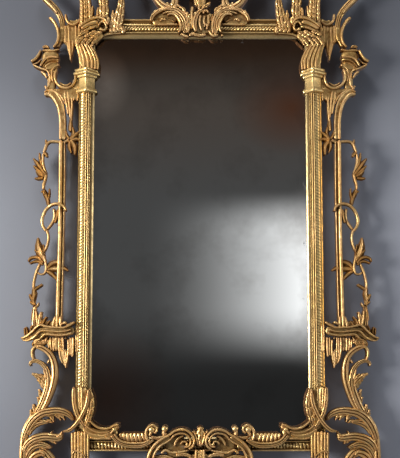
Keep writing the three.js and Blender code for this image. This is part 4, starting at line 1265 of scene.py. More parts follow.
    def heads(self) -> list[Ornament]:
        """The plume on each capital, the shoulder scroll and the leaf in each upper corner.

        Returns:
            The ornaments.
        """
        head = self.places.head
        capital_plume = [
            Stroke(head((-28, -149), (-26, -121), (-17, -95), (-6, -69), (0, -48)),
                   (52, 55, 45, 36.5, 25.5), GROUND, APPLIED, (-5,)),
            Stroke(head((-29, -69), (-46, -55), (-65, -44)), (34, 31, 22.5), GROUND, APPLIED, (-3,)),
            Stroke(head((-5, -149), (-5, -123), (0, -100), (5, -80)),
                   (8.5, 8.5, 7.5, 4), ROUND, APPLIED, (-6,)),
            Stroke(head((-14, -149), (-14, -123), (-7, -97), (1, -74)),
                   (9, 9.5, 8.5, 4.5), ROUND, APPLIED, (-3,)),
            Stroke(head((-25, -149), (-25, -123), (-17, -97), (-5, -73)),
                   (9, 9.5, 9, 5), ROUND, APPLIED, (-1,)),
            Stroke(head((-36, -149), (-36, -123), (-27, -97), (-14, -73)), (9, 9.5, 9, 5.5), ROUND, APPLIED),
            Stroke(head((-45, -149), (-46, -123), (-37, -99), (-23, -76)),
                   (8, 8.5, 8.5, 5.5), ROUND, APPLIED, (-2,)),
            Stroke(head((-52, -149), (-53, -125), (-46, -103), (-34, -83), (-26, -70)),
                   (6, 7, 7, 6, 4), ROUND, APPLIED, (-5,)),
            Stroke(head((6, -80), (-1, -66), (-13, -55)), (7.5, 11.5, 7.5), LEAF, APPLIED, (2,), 3),
            Stroke(head((-7, -82), (-13, -69), (-25, -60)), (7, 11.5, 7), LEAF, APPLIED, (3,), 3),
            Stroke(head((-21, -82), (-26, -70), (-37, -61)), (7, 10.5, 7), LEAF, APPLIED, (3,), 3),
            Stroke(head((-36, -83), (-40, -71), (-53, -60)), (6, 10, 5.5), LEAF, APPLIED, (0,), 3),
            Stroke(head((1, -53), (-12, -42), (-27, -40)), (8.5, 14, 11.5), LEAF, APPLIED, (1,), 4),
            Stroke(head((-15, -55), (-32, -48), (-48, -38)), (8.5, 13, 11.5), LEAF, APPLIED, (3,), 4),
            Stroke(head((-34, -60), (-48, -50), (-65, -40)), (7.5, 11.5, 8.5), LEAF, APPLIED, (1,), 4),
            Stroke(head((-45, -77), (-56, -59), (-70, -48), (-91, -43), (-119, -42)),
                   (4.5, 6, 7, 7, 5), ROUND, APPLIED, (-10,)),
            Stroke(head((-23, -24), (-42, -19), (-59, -22)), (20, 24, 22.5), GROUND, APPLIED, (-1,)),
            Stroke(head((-2, -29), (-17, -16), (-37, -5), (-56, -2), (-72, -8), (-82, -23)),
                   (6, 7.5, 8, 8, 8, 6), ROUND, APPLIED, (8,)),
            Stroke(head((-6, -34), (-21, -24), (-38, -16), (-54, -14)),
                   (10, 13, 13.5, 12), ROUND, APPLIED, (7,)),
            Stroke(head((-13, -40), (-29, -33), (-45, -29)), (7, 8, 5.5), ROUND, APPLIED, (4,)),
            Stroke(head((-54, -26), (-61, -15), (-71, -16), (-76, -28), (-71, -38), (-61, -35)),
                   (5.5, 6, 7, 7, 6, 5.5), ROUND, APPLIED, (6,), boss=4),
        ]
        shoulder = [
            Stroke(head((52, -19), (52, -42), (56, -66)), (17, 20, 17), GROUND, SIDE, (-5,)),
            Stroke(head((27, -10), (26, -42), (26, -77)), (56.5, 56.5, 39.5), GROUND, SIDE, (-7,)),
            Stroke(head((108, -109), (89, -108), (58, -108)), (25.5, 39.5, 42), GROUND, SIDE, (-4,)),
            Stroke(head((100, -138), (83, -135), (60, -129)), (14, 25.5, 22.5), GROUND, SIDE, (-3,)),
            Stroke(head((78, -141), (78, -169), (79, -204)), (25.5,), GROUND, SIDE, (-5,)),
            Stroke(head((90, -207), (65, -211), (37, -214), (-8, -210)),
                   (19.5, 25, 36.5, 42), GROUND, SIDE, (-6,)),
            Stroke(head((9, -169), (9, -204)), (19.5, 25), GROUND, SIDE, (-6,)),
            Stroke(head((118, 92), (106, 71), (89, 52), (71, 33), (58, 13), (51, -10), (52, -37), (56, -60),
                        (65, -79)),
                   (20, 21, 21, 20, 18.5, 17, 17, 14, 11.5), BANDS, SIDE, (-6,), 3),
            Stroke(head((123, 86), (110, 67), (93, 49), (77, 33), (64, 16)),
                   (6, 8.5, 9.5, 8.5, 5.5), ROUND, SIDE, (3,)),
            Stroke(head((41, 16), (39, 1), (31, -11), (18, -15), (6, -9), (-1, 4)),
                   (7, 7.5, 7.5, 7.5, 7.5, 6), ROUND, SIDE, (-2,)),
            Stroke(head((31, -3), (18, -8), (4, 0)), (8.5, 12.5, 8.5), GROUND, SIDE, (-8,)),
            Stroke(head((41, -16), (41, -40), (40, -69)), (9.5, 10, 7.5), ROUND, SIDE, (-6,)),
            Stroke(head((31, -19), (30, -54), (27, -89), (25, -119)),
                   (9, 10.5, 11.5, 3.5), ROUND, SIDE, (-5,)),
            Stroke(head((36, -60), (32, -83), (27, -106)), (7, 7.5, 3.5), ROUND, SIDE, (-6,)),
            Stroke(head((21, -19), (21, -48), (20, -77), (22, -103)),
                   (8.5, 8.5, 8.5, 3.5), ROUND, SIDE, (-7,)),
            Stroke(head((12, -16), (11, -45), (11, -80)), (8.5, 8.5, 5.5), ROUND, SIDE, (-5,)),
            Stroke(head((3, -10), (2, -40), (2, -71)), (8.5, 8.5, 7), ROUND, SIDE, (-7,)),
            Stroke(head((87, 5), (78, -2), (69, -15), (62, -32), (60, -51), (64, -69), (74, -82)),
                   (9.5, 9, 9, 9, 8.5, 8.5, 5.5), ROUND, SIDE, (2,)),
            Stroke(head((105, -81), (95, -78), (86, -82)), (6, 9.5, 5.5), LEAF, SIDE, (-3,), 3),
            Stroke(head((136, -123), (125, -117), (115, -104), (108, -90)),
                   (7.5, 9, 8, 5.5), ROUND, SIDE, (4,)),
            Stroke(head((107, -91), (92, -90), (75, -91), (57, -87)), (5.5, 7, 6, 5.5), ROUND, SIDE, (-1,)),
            Stroke(head((103, -101), (89, -99), (75, -100)), (4.5, 5, 3.5), ROUND, SIDE, (-5,)),
            Stroke(head((132, -130), (118, -126), (108, -116)), (4.5, 5.5, 4), ROUND, SIDE, (-3,)),
            Stroke(head((109, -137), (103, -125), (93, -114), (79, -110), (58, -112)),
                   (7, 8, 8, 7.5, 6), ROUND, SIDE, (4,)),
            Stroke(head((101, -142), (91, -130), (77, -123), (59, -122)),
                   (9.5, 12.5, 11.5, 7), SCROLL, SIDE, (1,)),
            Stroke(head((131, -131), (116, -139), (102, -144), (90, -149), (82, -164)),
                   (5, 6, 6.5, 6.5, 5), ROUND, SIDE, (-1,)),
            Stroke(head((108, -151), (98, -158), (90, -171)), (6.5, 8, 5), ROUND, SIDE),
            Stroke(head((87, -155), (82, -172), (85, -190), (94, -203)),
                   (6.5, 8, 8, 5.5), ROUND, SIDE, (-2,)),
            Stroke(head((97, -191), (92, -197), (87, -204)), (5.5, 7.5, 5.5), LEAF, SIDE, (-4,)),
            Stroke(head((56, -131), (67, -136), (75, -146), (77, -164), (73, -181)),
                   (7.5, 8, 8, 7.5, 5.5), ROUND, SIDE, (-2,)),
            Stroke(head((63, -144), (68, -158), (67, -175), (58, -190), (44, -198), (30, -198), (17, -189),
                        (11, -175), (11, -162)),
                   (6, 7.5, 8, 8.5, 8.5, 8.5, 8.5, 8, 6), ROUND, SIDE, (2,)),
            Stroke(head((55, -182), (45, -189), (34, -190), (22, -182)),
                   (4.5, 8, 8, 4.5), ROUND, SIDE, (-5,)),
            Stroke(head((98, -209), (84, -203), (68, -208), (52, -220), (41, -237)),
                   (6, 6, 6, 6, 4.5), ROUND, SIDE, (-4,)),
            Stroke(head((50, -206), (45, -224), (40, -244)), (5.5, 5.5, 4), ROUND, SIDE, (-7,)),
            Stroke(head((41, -206), (38, -230), (33, -255), (30, -273)),
                   (6.5, 7.5, 7.5, 5.5), ROUND, SIDE, (-5,)),
            Stroke(head((32, -206), (29, -233), (26, -261), (24, -284)),
                   (6.5, 7.5, 7.5, 5.5), ROUND, SIDE, (-5,)),
            Stroke(head((23, -205), (21, -227), (20, -253), (21, -278)),
                   (6.5, 7.5, 6.5, 4.5), ROUND, SIDE, (-6,)),
            Stroke(head((14, -203), (14, -218), (16, -235)), (6.5, 6.5, 4), ROUND, SIDE, (-6,)),
            Stroke(head((5, -184), (4, -210), (5, -235)), (6.5, 6.5, 5.5), ROUND, SIDE, (-6,)),
            Stroke(head((-1, -204), (-2, -224), (0, -244)), (5.5, 5.5, 4), ROUND, SIDE, (-8,)),
        ]
        corner_leaf = [
            Stroke(head((21, -255), (21, -275), (23, -295), (24, -318)),
                   (7.5, 6, 7.5, 10), ROUND, SIDE, (-6,)),
            Stroke(head((24, -285), (23, -301), (24, -321)), (4.5, 12.5, 14), BLADE, SIDE, (-3,)),
            Stroke(head((24, -346), (15, -329), (17, -309)), (11, 14, 4.5), BLADE, SIDE, (-4,)),
            Stroke(head((24, -346), (10, -332), (-2, -322)), (13, 14.5, 5.5), BLADE, SIDE, (-1,)),
            Stroke(head((24, -348), (8, -343), (-5, -346)), (13, 14, 5.5), BLADE, SIDE, (-2,)),
            Stroke(head((24, -346), (25, -366), (19, -383)), (11, 14, 4.5), BLADE, SIDE, (-4,)),
            Stroke(head((22, -346), (11, -363), (9, -389)), (14, 18, 5), BLADE, SIDE),
            Stroke(head((25, -344), (33, -332), (35, -320)), (9.5, 10, 4), BLADE, SIDE, (-3,)),
            Stroke(head((26, -344), (35, -349), (46, -352)), (9.5, 8.5, 7.5), ROUND, SIDE, (-7,)),
        ]
        return [
            Ornament("capital_plume", capital_plume), Ornament("shoulder_scroll", shoulder),
            Ornament("corner_leaf", corner_leaf),
        ]

    def ray(self, number: int) -> Stroke:
        """One ray of the crest's shell: a fluted blade that fans out from the root.

        Args:
            number: the ray, counted from the left.

        Returns:
            Its stroke.
        """
        turn = (number - (self.shell_rays - 1) / 2) * self.ray_turn
        length = (self.crest_reach - self.shell_root) * (1 - 0.06 * abs(turn)) - 4
        line = self.places.over(*(
            (math.sin(turn) * length * share, self.shell_root + math.cos(turn) * length * share)
            for share in (0.1, 0.4, 0.75, 1.0)
        ))
        return Stroke(line, (8, 20, 32, 17), REEDS, HEART, (-4, 0, 0, -4), self.ray_flutes)

    def crest(self) -> list[Ornament]:
        """The plumes on the top rail, the scrolls beside the middle and the shell.

        Returns:
            The ornaments.
        """
        head, over = self.places.head, self.places.over
        crest_plume = [
            Stroke(head((-17, -34), (-17, 16), (-15, 62)), (39.5, 37, 31), REEDS, CREST, (-12,), 5),
            Stroke(head((-66, -13), (-67, 22), (-64, 57)), (28.5, 28.5, 22.5), ROUND, CREST, (-14,)),
            Stroke(head((-34, -3), (-51, 0), (-71, -5), (-88, -16), (-108, -26), (-130, -40)),
                   (14, 17, 22.5, 28, 28, 14), GADROON, CREST, (-4,), 8),
            Stroke(head((-6, -22), (-6, 16), (-5, 45), (1, 71)),
                   (11.5, 12, 11.5, 7), ROUND, CREST, (-3,), lobes=8),
            Stroke(head((-18, -25), (-18, 13), (-16, 48), (-10, 89), (5, 139)),
                   (12.5, 14, 14, 14, 4), REEDS, CREST, lobes=12),
            Stroke(head((-29, -22), (-29, 10), (-27, 39), (-23, 74), (-16, 103)),
                   (11.5, 12, 11.5, 10, 4), ROUND, CREST, (-2,), lobes=9),
            Stroke(head((-30, 1), (-34, 19), (-37, 36)), (11.5, 10, 4), ROUND, CREST, (-4,)),
            Stroke(head((-67, -8), (-68, 22), (-66, 51), (-58, 86), (-44, 124)),
                   (29.5, 31, 28.5, 22.5, 5.5), BANDS, CREST, (-1,), 3, lobes=5),
            Stroke(head((-51, 4), (-51, 19), (-53, 30)), (7, 8.5, 4), ROUND, CREST),
            Stroke(head((-99, -19), (-94, 4), (-94, 23)), (14, 12.5, 4), LEAF, CREST, (-3,), 3),
            Stroke(head((-105, -34), (-109, -8), (-114, 22), (-117, 51), (-109, 80), (-89, 106)),
                   (25.5, 31, 25.5, 18.5, 17, 5.5), BANDS, CREST, (-1,), 3, lobes=6),
            Stroke(head((-82, -34), (-96, -36), (-110, -34), (-127, -31)),
                   (14, 15.5, 14, 11.5), GADROON, CREST, (0,), 4),
        ]
        crest_scroll = [
            Stroke(over((133, -13), (113, -3), (90, 1), (68, -8)),
                   (22.5, 36.5, 45, 34), GROUND, CREST, (-11,)),
            Stroke(over((99, 33), (82, 36)), (34,), GROUND, CREST, (-10,)),
            Stroke(over((127, -17), (104, -18), (82, -17), (62, -18)),
                   (4.5, 5.5, 5.5, 4.5), ROUND, CREST, (-8,)),
            Stroke(over((113, -9), (105, -3), (95, -5)), (5.5, 9, 5.5), GADROON, CREST, (-3,), 3),
            Stroke(over((89, -5), (80, -6), (72, -12)), (4.5, 7, 4), BLADE, CREST, (-7,)),
            Stroke(over((79, 30), (71, 45), (72, 68), (72, 98), (60, 127), (43, 145)),
                   (22.5, 21.5, 17, 17, 18.5, 17), BANDS, CREST, (-1,)),
            Stroke(over((78, 27), (96, 32), (112, 43), (125, 60), (137, 83), (142, 109), (134, 136),
                        (114, 145), (99, 133), (101, 118)),
                   (17, 20, 18.5, 18.5, 18.5, 17, 15.5, 14, 11.5, 7), BANDS, CREST, (1,), boss=6),
            Stroke(over((142, 101), (162, 109), (173, 127), (178, 150)),
                   (14, 17, 13, 4.5), LEAF, CREST, (-4,), 4),
            Stroke(over((135, 7), (126, 17), (116, 22)), (5.5, 9, 5.5), LEAF, CREST),
            Stroke(over((115, 20), (102, 23), (89, 26)), (5.5, 8, 5.5), ROUND, CREST, (2,)),
            Stroke(over((72, 31), (64, 36), (55, 31)), (7.5, 9.5, 5.5), ROUND, CREST),
            Stroke(over((58, 32), (46, 25), (42, 10)), (7, 9, 7), LEAF, CREST),
            Stroke(over((138, -10), (133, 5), (122, 16), (107, 24), (88, 27), (68, 24), (52, 13), (41, -3),
                        (38, -20), (40, -34), (45, -45)),
                   (8.5, 11.5, 13, 13, 13, 13.5, 14, 14.5, 14.5, 13, 8.5), BANDS, CREST),
            Stroke(over((105, 11), (88, 16), (72, 15), (58, 4), (49, -10), (47, -25), (51, -40)),
                   (4.5, 5.5, 6, 6, 6, 5.5, 4.5), ROUND, CREST, (2,)),
            Stroke(over((92, 6), (82, 10), (71, 8), (61, -3), (55, -18), (55, -34), (60, -44)),
                   (5, 7.5, 8.5, 9, 9, 8, 5.5), ROUND, CREST, (5,)),
        ]
        shell = [
            Stroke(over((0, 30), (0, 90), (0, self.shell_root + 20)), (30, 44, 36), REEDS, HEART, (-3,), 5),
            *(self.ray(number) for number in range(self.shell_rays)),
            Stroke(over((-66, 142), (-48, 122), (-22, 112), (0, 116), (22, 112), (48, 122), (66, 142)),
                   (8, 14, 16, 18, 16, 14, 8), SCROLL, replace(HEART, front=-66.0)),
        ]
        finial = [
            Stroke(over((-45, -16), (0, -10), (45, -16)), (56.5, 68, 56.5), GROUND, HEART, (-13,)),
            Stroke(over((-54, -44), (-43, -51), (-31, -54)), (6, 8, 7), ROUND, APPLIED, (-3,)),
            Stroke(over((-31, -50), (-20, -46), (-8, -49), (3, -50), (17, -48)),
                   (7, 9.5, 8.5, 8.5, 7), LEAF, APPLIED, (-4,), 5),
            Stroke(over((-39, 17), (-34, 4), (-32, -10), (-34, -25), (-36, -45)),
                   (7, 12.5, 14.5, 13, 8.5), LEAF, APPLIED, (0,), 4),
            Stroke(over((-30, -24), (-32, -34), (-36, -45)), (5.5, 9, 7), ROUND, APPLIED, (4,)),
            Stroke(over((-21, 33), (-23, 19), (-22, -8), (-24, -34)),
                   (8, 8.5, 9, 7.5), ROUND, APPLIED, (-2,)),
            Stroke(over((10, 23), (-3, 16), (-11, 3), (-15, -13), (-14, -29), (-11, -41)),
                   (8.5, 12, 14, 14, 12.5, 7.5), BANDS, APPLIED, (2,)),
            Stroke(over((2, 8), (-1, -8), (0, -22), (5, -38)), (6, 7.5, 8, 6), ROUND, APPLIED),
            Stroke(over((13, 7), (11, -8), (14, -22)), (5.5, 7.5, 5), ROUND, APPLIED, (-3,)),
            Stroke(over((23, 10), (24, -8), (23, -25)), (5.5, 8, 5.5), ROUND, APPLIED, (-3,)),
            Stroke(over((12, -28), (14, -20), (20, -21), (19, -35)), (5, 6, 7, 5.5), ROUND, APPLIED),
            Stroke(over((10, 10), (11, 18), (19, 20), (24, 13)), (5.5, 7.5, 7.5, 5), ROUND, APPLIED, (2,)),
            Stroke(over((65, 29), (53, 19), (44, 4), (40, -13), (37, -31), (38, -46)),
                   (9.5, 12.5, 13.5, 13.5, 12.5, 7.5), BANDS, APPLIED, (1,)),
            Stroke(over((62, 14), (55, 1), (51, -15), (49, -34), (41, -49)),
                   (6, 8, 8.5, 8.5, 7), ROUND, APPLIED),
            Stroke(over((24, -37), (30, -46), (39, -52), (52, -49)), (6, 8, 8.5, 6), ROUND, APPLIED),
            Stroke(over((59, -52), (65, -48)), (7,), ROUND, APPLIED, (-4,)),
            Stroke(over((31, -10), (34, 0), (37, 10)), (7, 10.5, 5), BLADE, APPLIED),
            Stroke(over((6, 29), (17, 35), (30, 45)), (9.5, 11.5, 5.5), LEAF, APPLIED, (0,), 3),
            Stroke(over((-11, 55), (-7, 45), (-2, 33)), (5.5, 7.5, 7), ROUND, APPLIED),
            Stroke(over((11, 74), (11, 51), (7, 24)), (8, 8, 7.5), ROUND, HEART, (-1,)),
            Stroke(over((-2, 74), (-3, 48), (-2, 22)), (8, 8.5, 8), ROUND, HEART),
        ]
        return [
            Ornament("crest_plume", crest_plume), Ornament("crest_scroll", crest_scroll),
            Ornament("crest_finial", shell + finial, paired=False),
        ]

    def apron(self) -> Ornament:
        """The pierced cartouche in the middle of the bottom rail.

        Returns:
            The ornament.
        """
        under = self.places.under
        apron = [
            Stroke(under((51, -13), (65, 14), (51, 35)), (54, 59.5, 46), GROUND, HEART, (-14,)),
            Stroke(under((5, -10), (27, -34), (59, -34), (92, -18), (127, -18)),
                   (32.5, 35, 27, 19, 11), BANDS, HEART, (-7,), 3),
            Stroke(under((5, -15), (27, -55), (35, -87)), (24, 27, 21.5), BANDS, HEART, (-4,), 3),
            Stroke(under((8, -100), (32, -97), (62, -89), (86, -76), (102, -60)),
                   (24, 24, 21.5, 19, 13.5), BANDS, HEART, (0,), 3),
            Stroke(under((105, -5), (93, 4), (76, -2), (54, -1), (30, 4)),
                   (8, 8.5, 8, 8, 5.5), ROUND, HEART, (-1,)),
            Stroke(under((65, -10), (43, -7), (22, -13)), (8, 11, 8), LEAF, HEART, (-3,), 5),
            Stroke(under((69, 14), (65, 26), (57, 36), (43, 42)), (5.5, 8, 8, 5.5), ROUND, HEART, (-5,)),
            Stroke(under((85, -81), (108, -66), (127, -42), (133, -15), (125, 5), (112, 21), (95, 32),
                         (78, 36)),
                   (11, 17.5, 21.5, 21.5, 20.5, 19.5, 17.5, 13.5), GROUND, WIDE),
            Stroke(under((87, -88), (113, -70), (133, -44), (139, -17), (131, 6), (116, 24), (99, 36),
                         (81, 46), (68, 55), (50, 59), (34, 56), (22, 45), (16, 30), (19, 16), (30, 7)),
                   (6, 8.5, 9.5, 9.5, 8.5, 8, 7.5, 7.5, 7.5, 7.5, 7.5, 7.5, 7.5, 7, 6), ROUND, WIDE, (8,)),
            Stroke(under((80, -73), (101, -60), (119, -39), (125, -16), (118, 2), (105, 17), (89, 26),
                         (76, 35)),
                   (5, 6.5, 7.5, 7.5, 7.5, 7, 6.5, 5.5), ROUND, WIDE, (4,)),
            Stroke(under((78, 34), (69, 44), (52, 49), (37, 46), (27, 35), (25, 23), (31, 14), (42, 13)),
                   (5.5, 6.5, 7, 7, 7, 7, 6.5, 5.5), ROUND, WIDE, (4,)),
            Stroke(under((53, 19), (47, 26), (38, 26), (35, 19)),
                   (5, 6.5, 6.5, 5.5), ROUND, WIDE, (1,), boss=4),
            Stroke(under((15, 51), (10, 32), (5, 17)), (5.5, 7.5, 5.5), ROUND, WIDE, (2,)),
            Stroke(under((10, 7), (11, -10), (12, -29)), (8, 9, 8), ROUND, HEART, (2,)),
        ]
        middle = [
            Stroke(under((1, 67), (1, 46), (1, 13)), (17.5, 23, 12.5), LEAF, WIDE, (1,), 3),
            Stroke(under((20, 56), (15, 38), (6, 15)), (9, 12, 8), ROUND, WIDE, (-2,)),
            Stroke(under((-17, 56), (-12, 38), (-4, 15)), (9, 12, 8), ROUND, WIDE, (-2,)),
            Stroke(under((1, 67), (1, 55)), (14.5, 17.5), ROUND, WIDE, (3,)),
            Stroke(under((1, 6), (1, -29), (1, -71)), (16, 20, 24.5), REEDS, HEART, (0,), 3),
        ]
        strokes = apron + [replace(stroke, line=stroke.line * (-1, 1)) for stroke in apron] + middle
        return Ornament("apron_cartouche", strokes, paired=False)

    def vine(self) -> Ornament:
        """The flowering vine that climbs beside the rod and winds over it.

        Returns:
            The ornament.
        """
        foot = self.places.foot
        vine = [
            Stroke(foot((43, 847), (57, 849), (71, 850), (82, 848), (89, 840), (93, 829), (97, 817)),
                   (7, 8, 8, 8, 8.5, 8.5, 6.5), ROUND, VINE),
            Stroke(foot((89, 839), (90, 848), (91, 855)), (8.5, 8.5, 4), BLADE, VINE, (2,)),
            Stroke(foot((98, 818), (91, 814), (86, 805)), (9, 13.5, 7), BLADE, VINE, (3,)),
            Stroke(foot((108, 818), (107, 803), (103, 786), (97, 772)), (4, 9, 10, 7), BLADE, VINE, (1,)),
            Stroke(foot((97, 817), (99, 797), (95, 776), (87, 757)), (6.5, 8, 8, 6.5), ROUND, VINE),
            Stroke(foot((117, 769), (107, 759), (93, 750)), (7, 18, 11), BLADE, VINE, (2,)),
            Stroke(foot((121, 745), (111, 745), (96, 746)), (4.5, 12, 9), BLADE, VINE, (1,)),
            Stroke(foot((124, 781), (111, 769), (94, 755)), (5, 14, 11), BLADE, VINE, (3,)),
            Stroke(foot((125, 801), (115, 789), (103, 773), (88, 754)), (4.5, 13, 14, 11), BLADE, VINE, (5,)),
            Stroke(foot((88, 759), (91, 743), (95, 729), (96, 713)), (8.5, 8.5, 8, 7), ROUND, VINE, (1,)),
            Stroke(foot((96, 715), (90, 701), (84, 687), (80, 669)), (11, 15.5, 13.5, 11), BLADE, VINE),
            Stroke(foot((102, 708), (96, 707), (91, 699)), (4.5, 8.5, 7), BLADE, VINE, (2,)),
            Stroke(foot((79, 718), (79, 701), (82, 685)), (4, 7.5, 6), BLADE, VINE),
            Stroke(foot((67, 662), (64, 645), (66, 629), (74, 615), (84, 602)),
                   (8.5, 10, 9.5, 9, 8.5), ROUND, VINE, (-3,)),
            Stroke(foot((55, 659), (57, 640), (62, 620)), (7, 12, 6), BLADE, VINE, (2,)),
            Stroke(foot((31, 652), (36, 664), (47, 671), (60, 673), (74, 669), (86, 659), (94, 644),
                        (98, 626), (94, 610), (85, 597)),
                   (5.5, 8.5, 8.5, 8.5, 8.5, 8.5, 8.5, 8.5, 8.5, 8), ROUND, TWIST,
                   (0, 0, 0, -8, -10, -10, -10)),
            Stroke(foot((85, 602), (80, 584), (81, 566), (88, 544)), (9, 7.5, 7.5, 7), ROUND, VINE),
            Stroke(foot((94, 562), (92, 551), (88, 540)), (4.5, 7, 7), BLADE, VINE),
            Stroke(foot((117, 546), (107, 537), (96, 523)), (4.5, 13, 12), BLADE, VINE, (1,)),
            Stroke(foot((108, 580), (107, 559), (101, 538), (90, 514)), (5, 21, 28, 13), BLADE, VINE, (2,)),
            Stroke(foot((130, 507), (118, 513), (105, 513), (93, 504)),
                   (4.5, 9.5, 9.5, 8.5), BLADE, VINE, (3,)),
            Stroke(foot((133, 512), (129, 521), (118, 525), (105, 522), (92, 508)),
                   (5, 9, 11, 11, 9), BLADE, VINE, (5,)),
            Stroke(foot((92, 531), (87, 512), (85, 493), (89, 481), (98, 478), (108, 483)),
                   (7.5, 8, 8, 6.5, 6, 6), ROUND, VINE),
            Stroke(foot((101, 510), (106, 498), (111, 486), (115, 471), (118, 454), (118, 438)),
                   (6.5, 8, 8, 8, 8, 8), ROUND, VINE, (-1,)),
            Stroke(foot((84, 487), (72, 482), (58, 469), (51, 460)), (10, 15.5, 12, 5), BLADE, VINE, (1,)),
            Stroke(foot((85, 491), (72, 506), (57, 512), (44, 512)), (11, 18, 15.5, 7), BLADE, VINE, (1,)),
            Stroke(foot((85, 490), (68, 494), (52, 494), (36, 495), (23, 488)),
                   (11, 19, 21, 14, 5), BLADE, VINE, (-2,)),
            Stroke(foot((117, 434), (108, 441), (100, 446), (93, 451)),
                   (8.5, 12, 9.5, 11.5), BLADE, VINE, (1,)),
            Stroke(foot((118, 443), (116, 424), (119, 408), (115, 394)),
                   (10, 17.5, 17.5, 10), BLADE, VINE, (1,)),
            Stroke(foot((129, 424), (123, 413), (116, 405)), (6, 13, 9), BLADE, VINE, (2,)),
            Stroke(foot((127, 404), (120, 398), (113, 394)), (6, 10, 8.5), BLADE, VINE, (2,)),
            Stroke(foot((116, 402), (114, 388), (116, 372), (117, 348)), (8, 11, 13.5, 15.5), SCROLL, VINE),
            Stroke(foot((112, 387), (106, 392), (103, 401)), (5.5, 6.5, 3.5), ROUND, VINE, (2,)),
        ]
        return Ornament("vine", vine)


@dataclass(frozen=True)
class Capital:
    """The turned square capital on each stile: tiers of moulding over a plain panelled die.

    profile gives the tiers from the top down: height and side, in millimetres. front is the Y that
    nothing of the capital lies behind.
    """

    places: Places
    middle: float = 20.0
    depth: float = 10.0
    turn: float = math.pi / 4.6
    front: float = -36.0
    around: int = 48
    profile: tuple[tuple[float, float], ...] = (
        (0, 50), (-2, 51), (-6, 50), (-8, 47), (-9, 55), (-12, 57), (-16, 56), (-18, 51), (-19, 45),
        (-24, 44), (-26, 40), (-27, 36), (-31, 35), (-52, 35), (-56, 36), (-57, 44), (-62, 46),
        (-66, 45), (-68, 40),
    )

    def shell(self) -> Shell:
        """Stacks rounded squares of the profile's sides.

        Each level is the curve where |x|^8 + |y|^8 is the half side to the power 8, turned.

        Returns:
            The right-hand capital.
        """
        p = self.places
        turn = np.linspace(0, 2 * np.pi, self.around, endpoint=False)
        c, s = np.cos(turn), np.sin(turn)
        cos, sin = math.cos(self.turn), math.sin(self.turn)
        reach = (np.abs(c) ** 8 + np.abs(s) ** 8) ** (-1 / 8)
        rings = []
        for up, side in self.profile:
            half = side / 2
            x, y = half * reach * c, half * reach * s
            rings.append(np.stack([
                p.edge - self.middle + x * cos - y * sin,
                np.minimum(p.front + self.depth + x * sin + y * cos, self.front),
                np.full(self.around, p.top + p.capital + up),
            ], -1))
        sides = np.array([side for _, side in self.profile])
        # Tiers narrower than their neighbours are darkened as painted shade and soiling; wider ones wear.
        hollow = np.clip((spread(sides[:, None], 2)[:, 0] - sides) / 8, -1, 1)
        faces = tube_faces(len(rings), self.around)
        return outward(Shell(np.concatenate(rings) * MM, faces, np.repeat(hollow, self.around)))


# ---- The mirror -----------------------------------------------------------------------------
@dataclass(frozen=True)
class PierMirror:
    """Every piece of the mirror: the CAD's own glass, boards and ironwork, and the carving."""

    places: Places
    finishes: Finishes

    def carve(self) -> None:
        """Replaces the carved and moulded nodes by fine ones."""
        moulding, carver = Moulding(self.places), Carver(self.places)
        gilt, bare = self.finishes.moulded, self.finishes.braces
        for bar in moulding.bars():
            place(piece(bar.name, [moulding.build(bar)], gilt, bare), "frame_gilding", bar.node)
        for group in (carver.sides(), carver.corners(), carver.heads(), carver.crest()):
            for ornament in group:
                ornament.build(self.finishes.carved, bare)
        carver.apron().build(self.finishes.carved, bare)
        carver.vine().build(self.finishes.carved, bare)
        capital = Capital(self.places).shell()
        place(piece("capital_block_right", [capital], gilt, bare), "carved_gilding", "capital_right")
        place(piece("capital_block_left", [mirrored(capital)], gilt, bare), "carved_gilding", "capital_left")

    def finish(self, nodes: dict[str, bpy.types.Object]) -> None:
        """Gives the CAD's own pieces their finishes.

        Args:
            nodes: the frame's nodes by name.
        """
        low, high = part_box("mirror_plate")
        glass = OldGlassFinish().build(high[0], low[2], high[2])
        kinds = (
            ("slip_", self.finishes.burnished), ("mirror_plate", glass),
            ("backboard_", self.finishes.boards),
            ("back_batten_", self.finishes.battens), ("crest_brace", self.finishes.braces),
            ("apron_brace", self.finishes.braces), ("hanger_screw", self.finishes.steel),
            ("hanger_", self.finishes.iron),
        )
        for name, thing in nodes.items():
            for start, material in kinds:
                if name.startswith(start):
                    thing.data.materials.clear()
                    thing.data.materials.append(material)
                    break


# ---- Stage ----------------------------------------------------------------------------------
@dataclass(frozen=True)
class Lamp:
    """A soft square light: where it is, where it points, its size in metres and its power."""

    name: str
    at: tuple[float, float, float]
    to: tuple[float, float, float]
    size: float
    watts: float
    color: tuple[float, float, float] = (1.0, 1.0, 1.0)

    def build(self) -> None:
        """Adds the light to the scene."""
        data = bpy.data.lights.new(self.name, "AREA")
        data.shape, data.size, data.energy, data.color = "SQUARE", self.size, self.watts, self.color
        lamp = bpy.data.objects.new(self.name, data)
        lamp.location = self.at
        lamp.rotation_euler = (Vector(self.to) - Vector(self.at)).to_track_quat("-Z", "Y").to_euler()
        bpy.context.collection.objects.link(lamp)


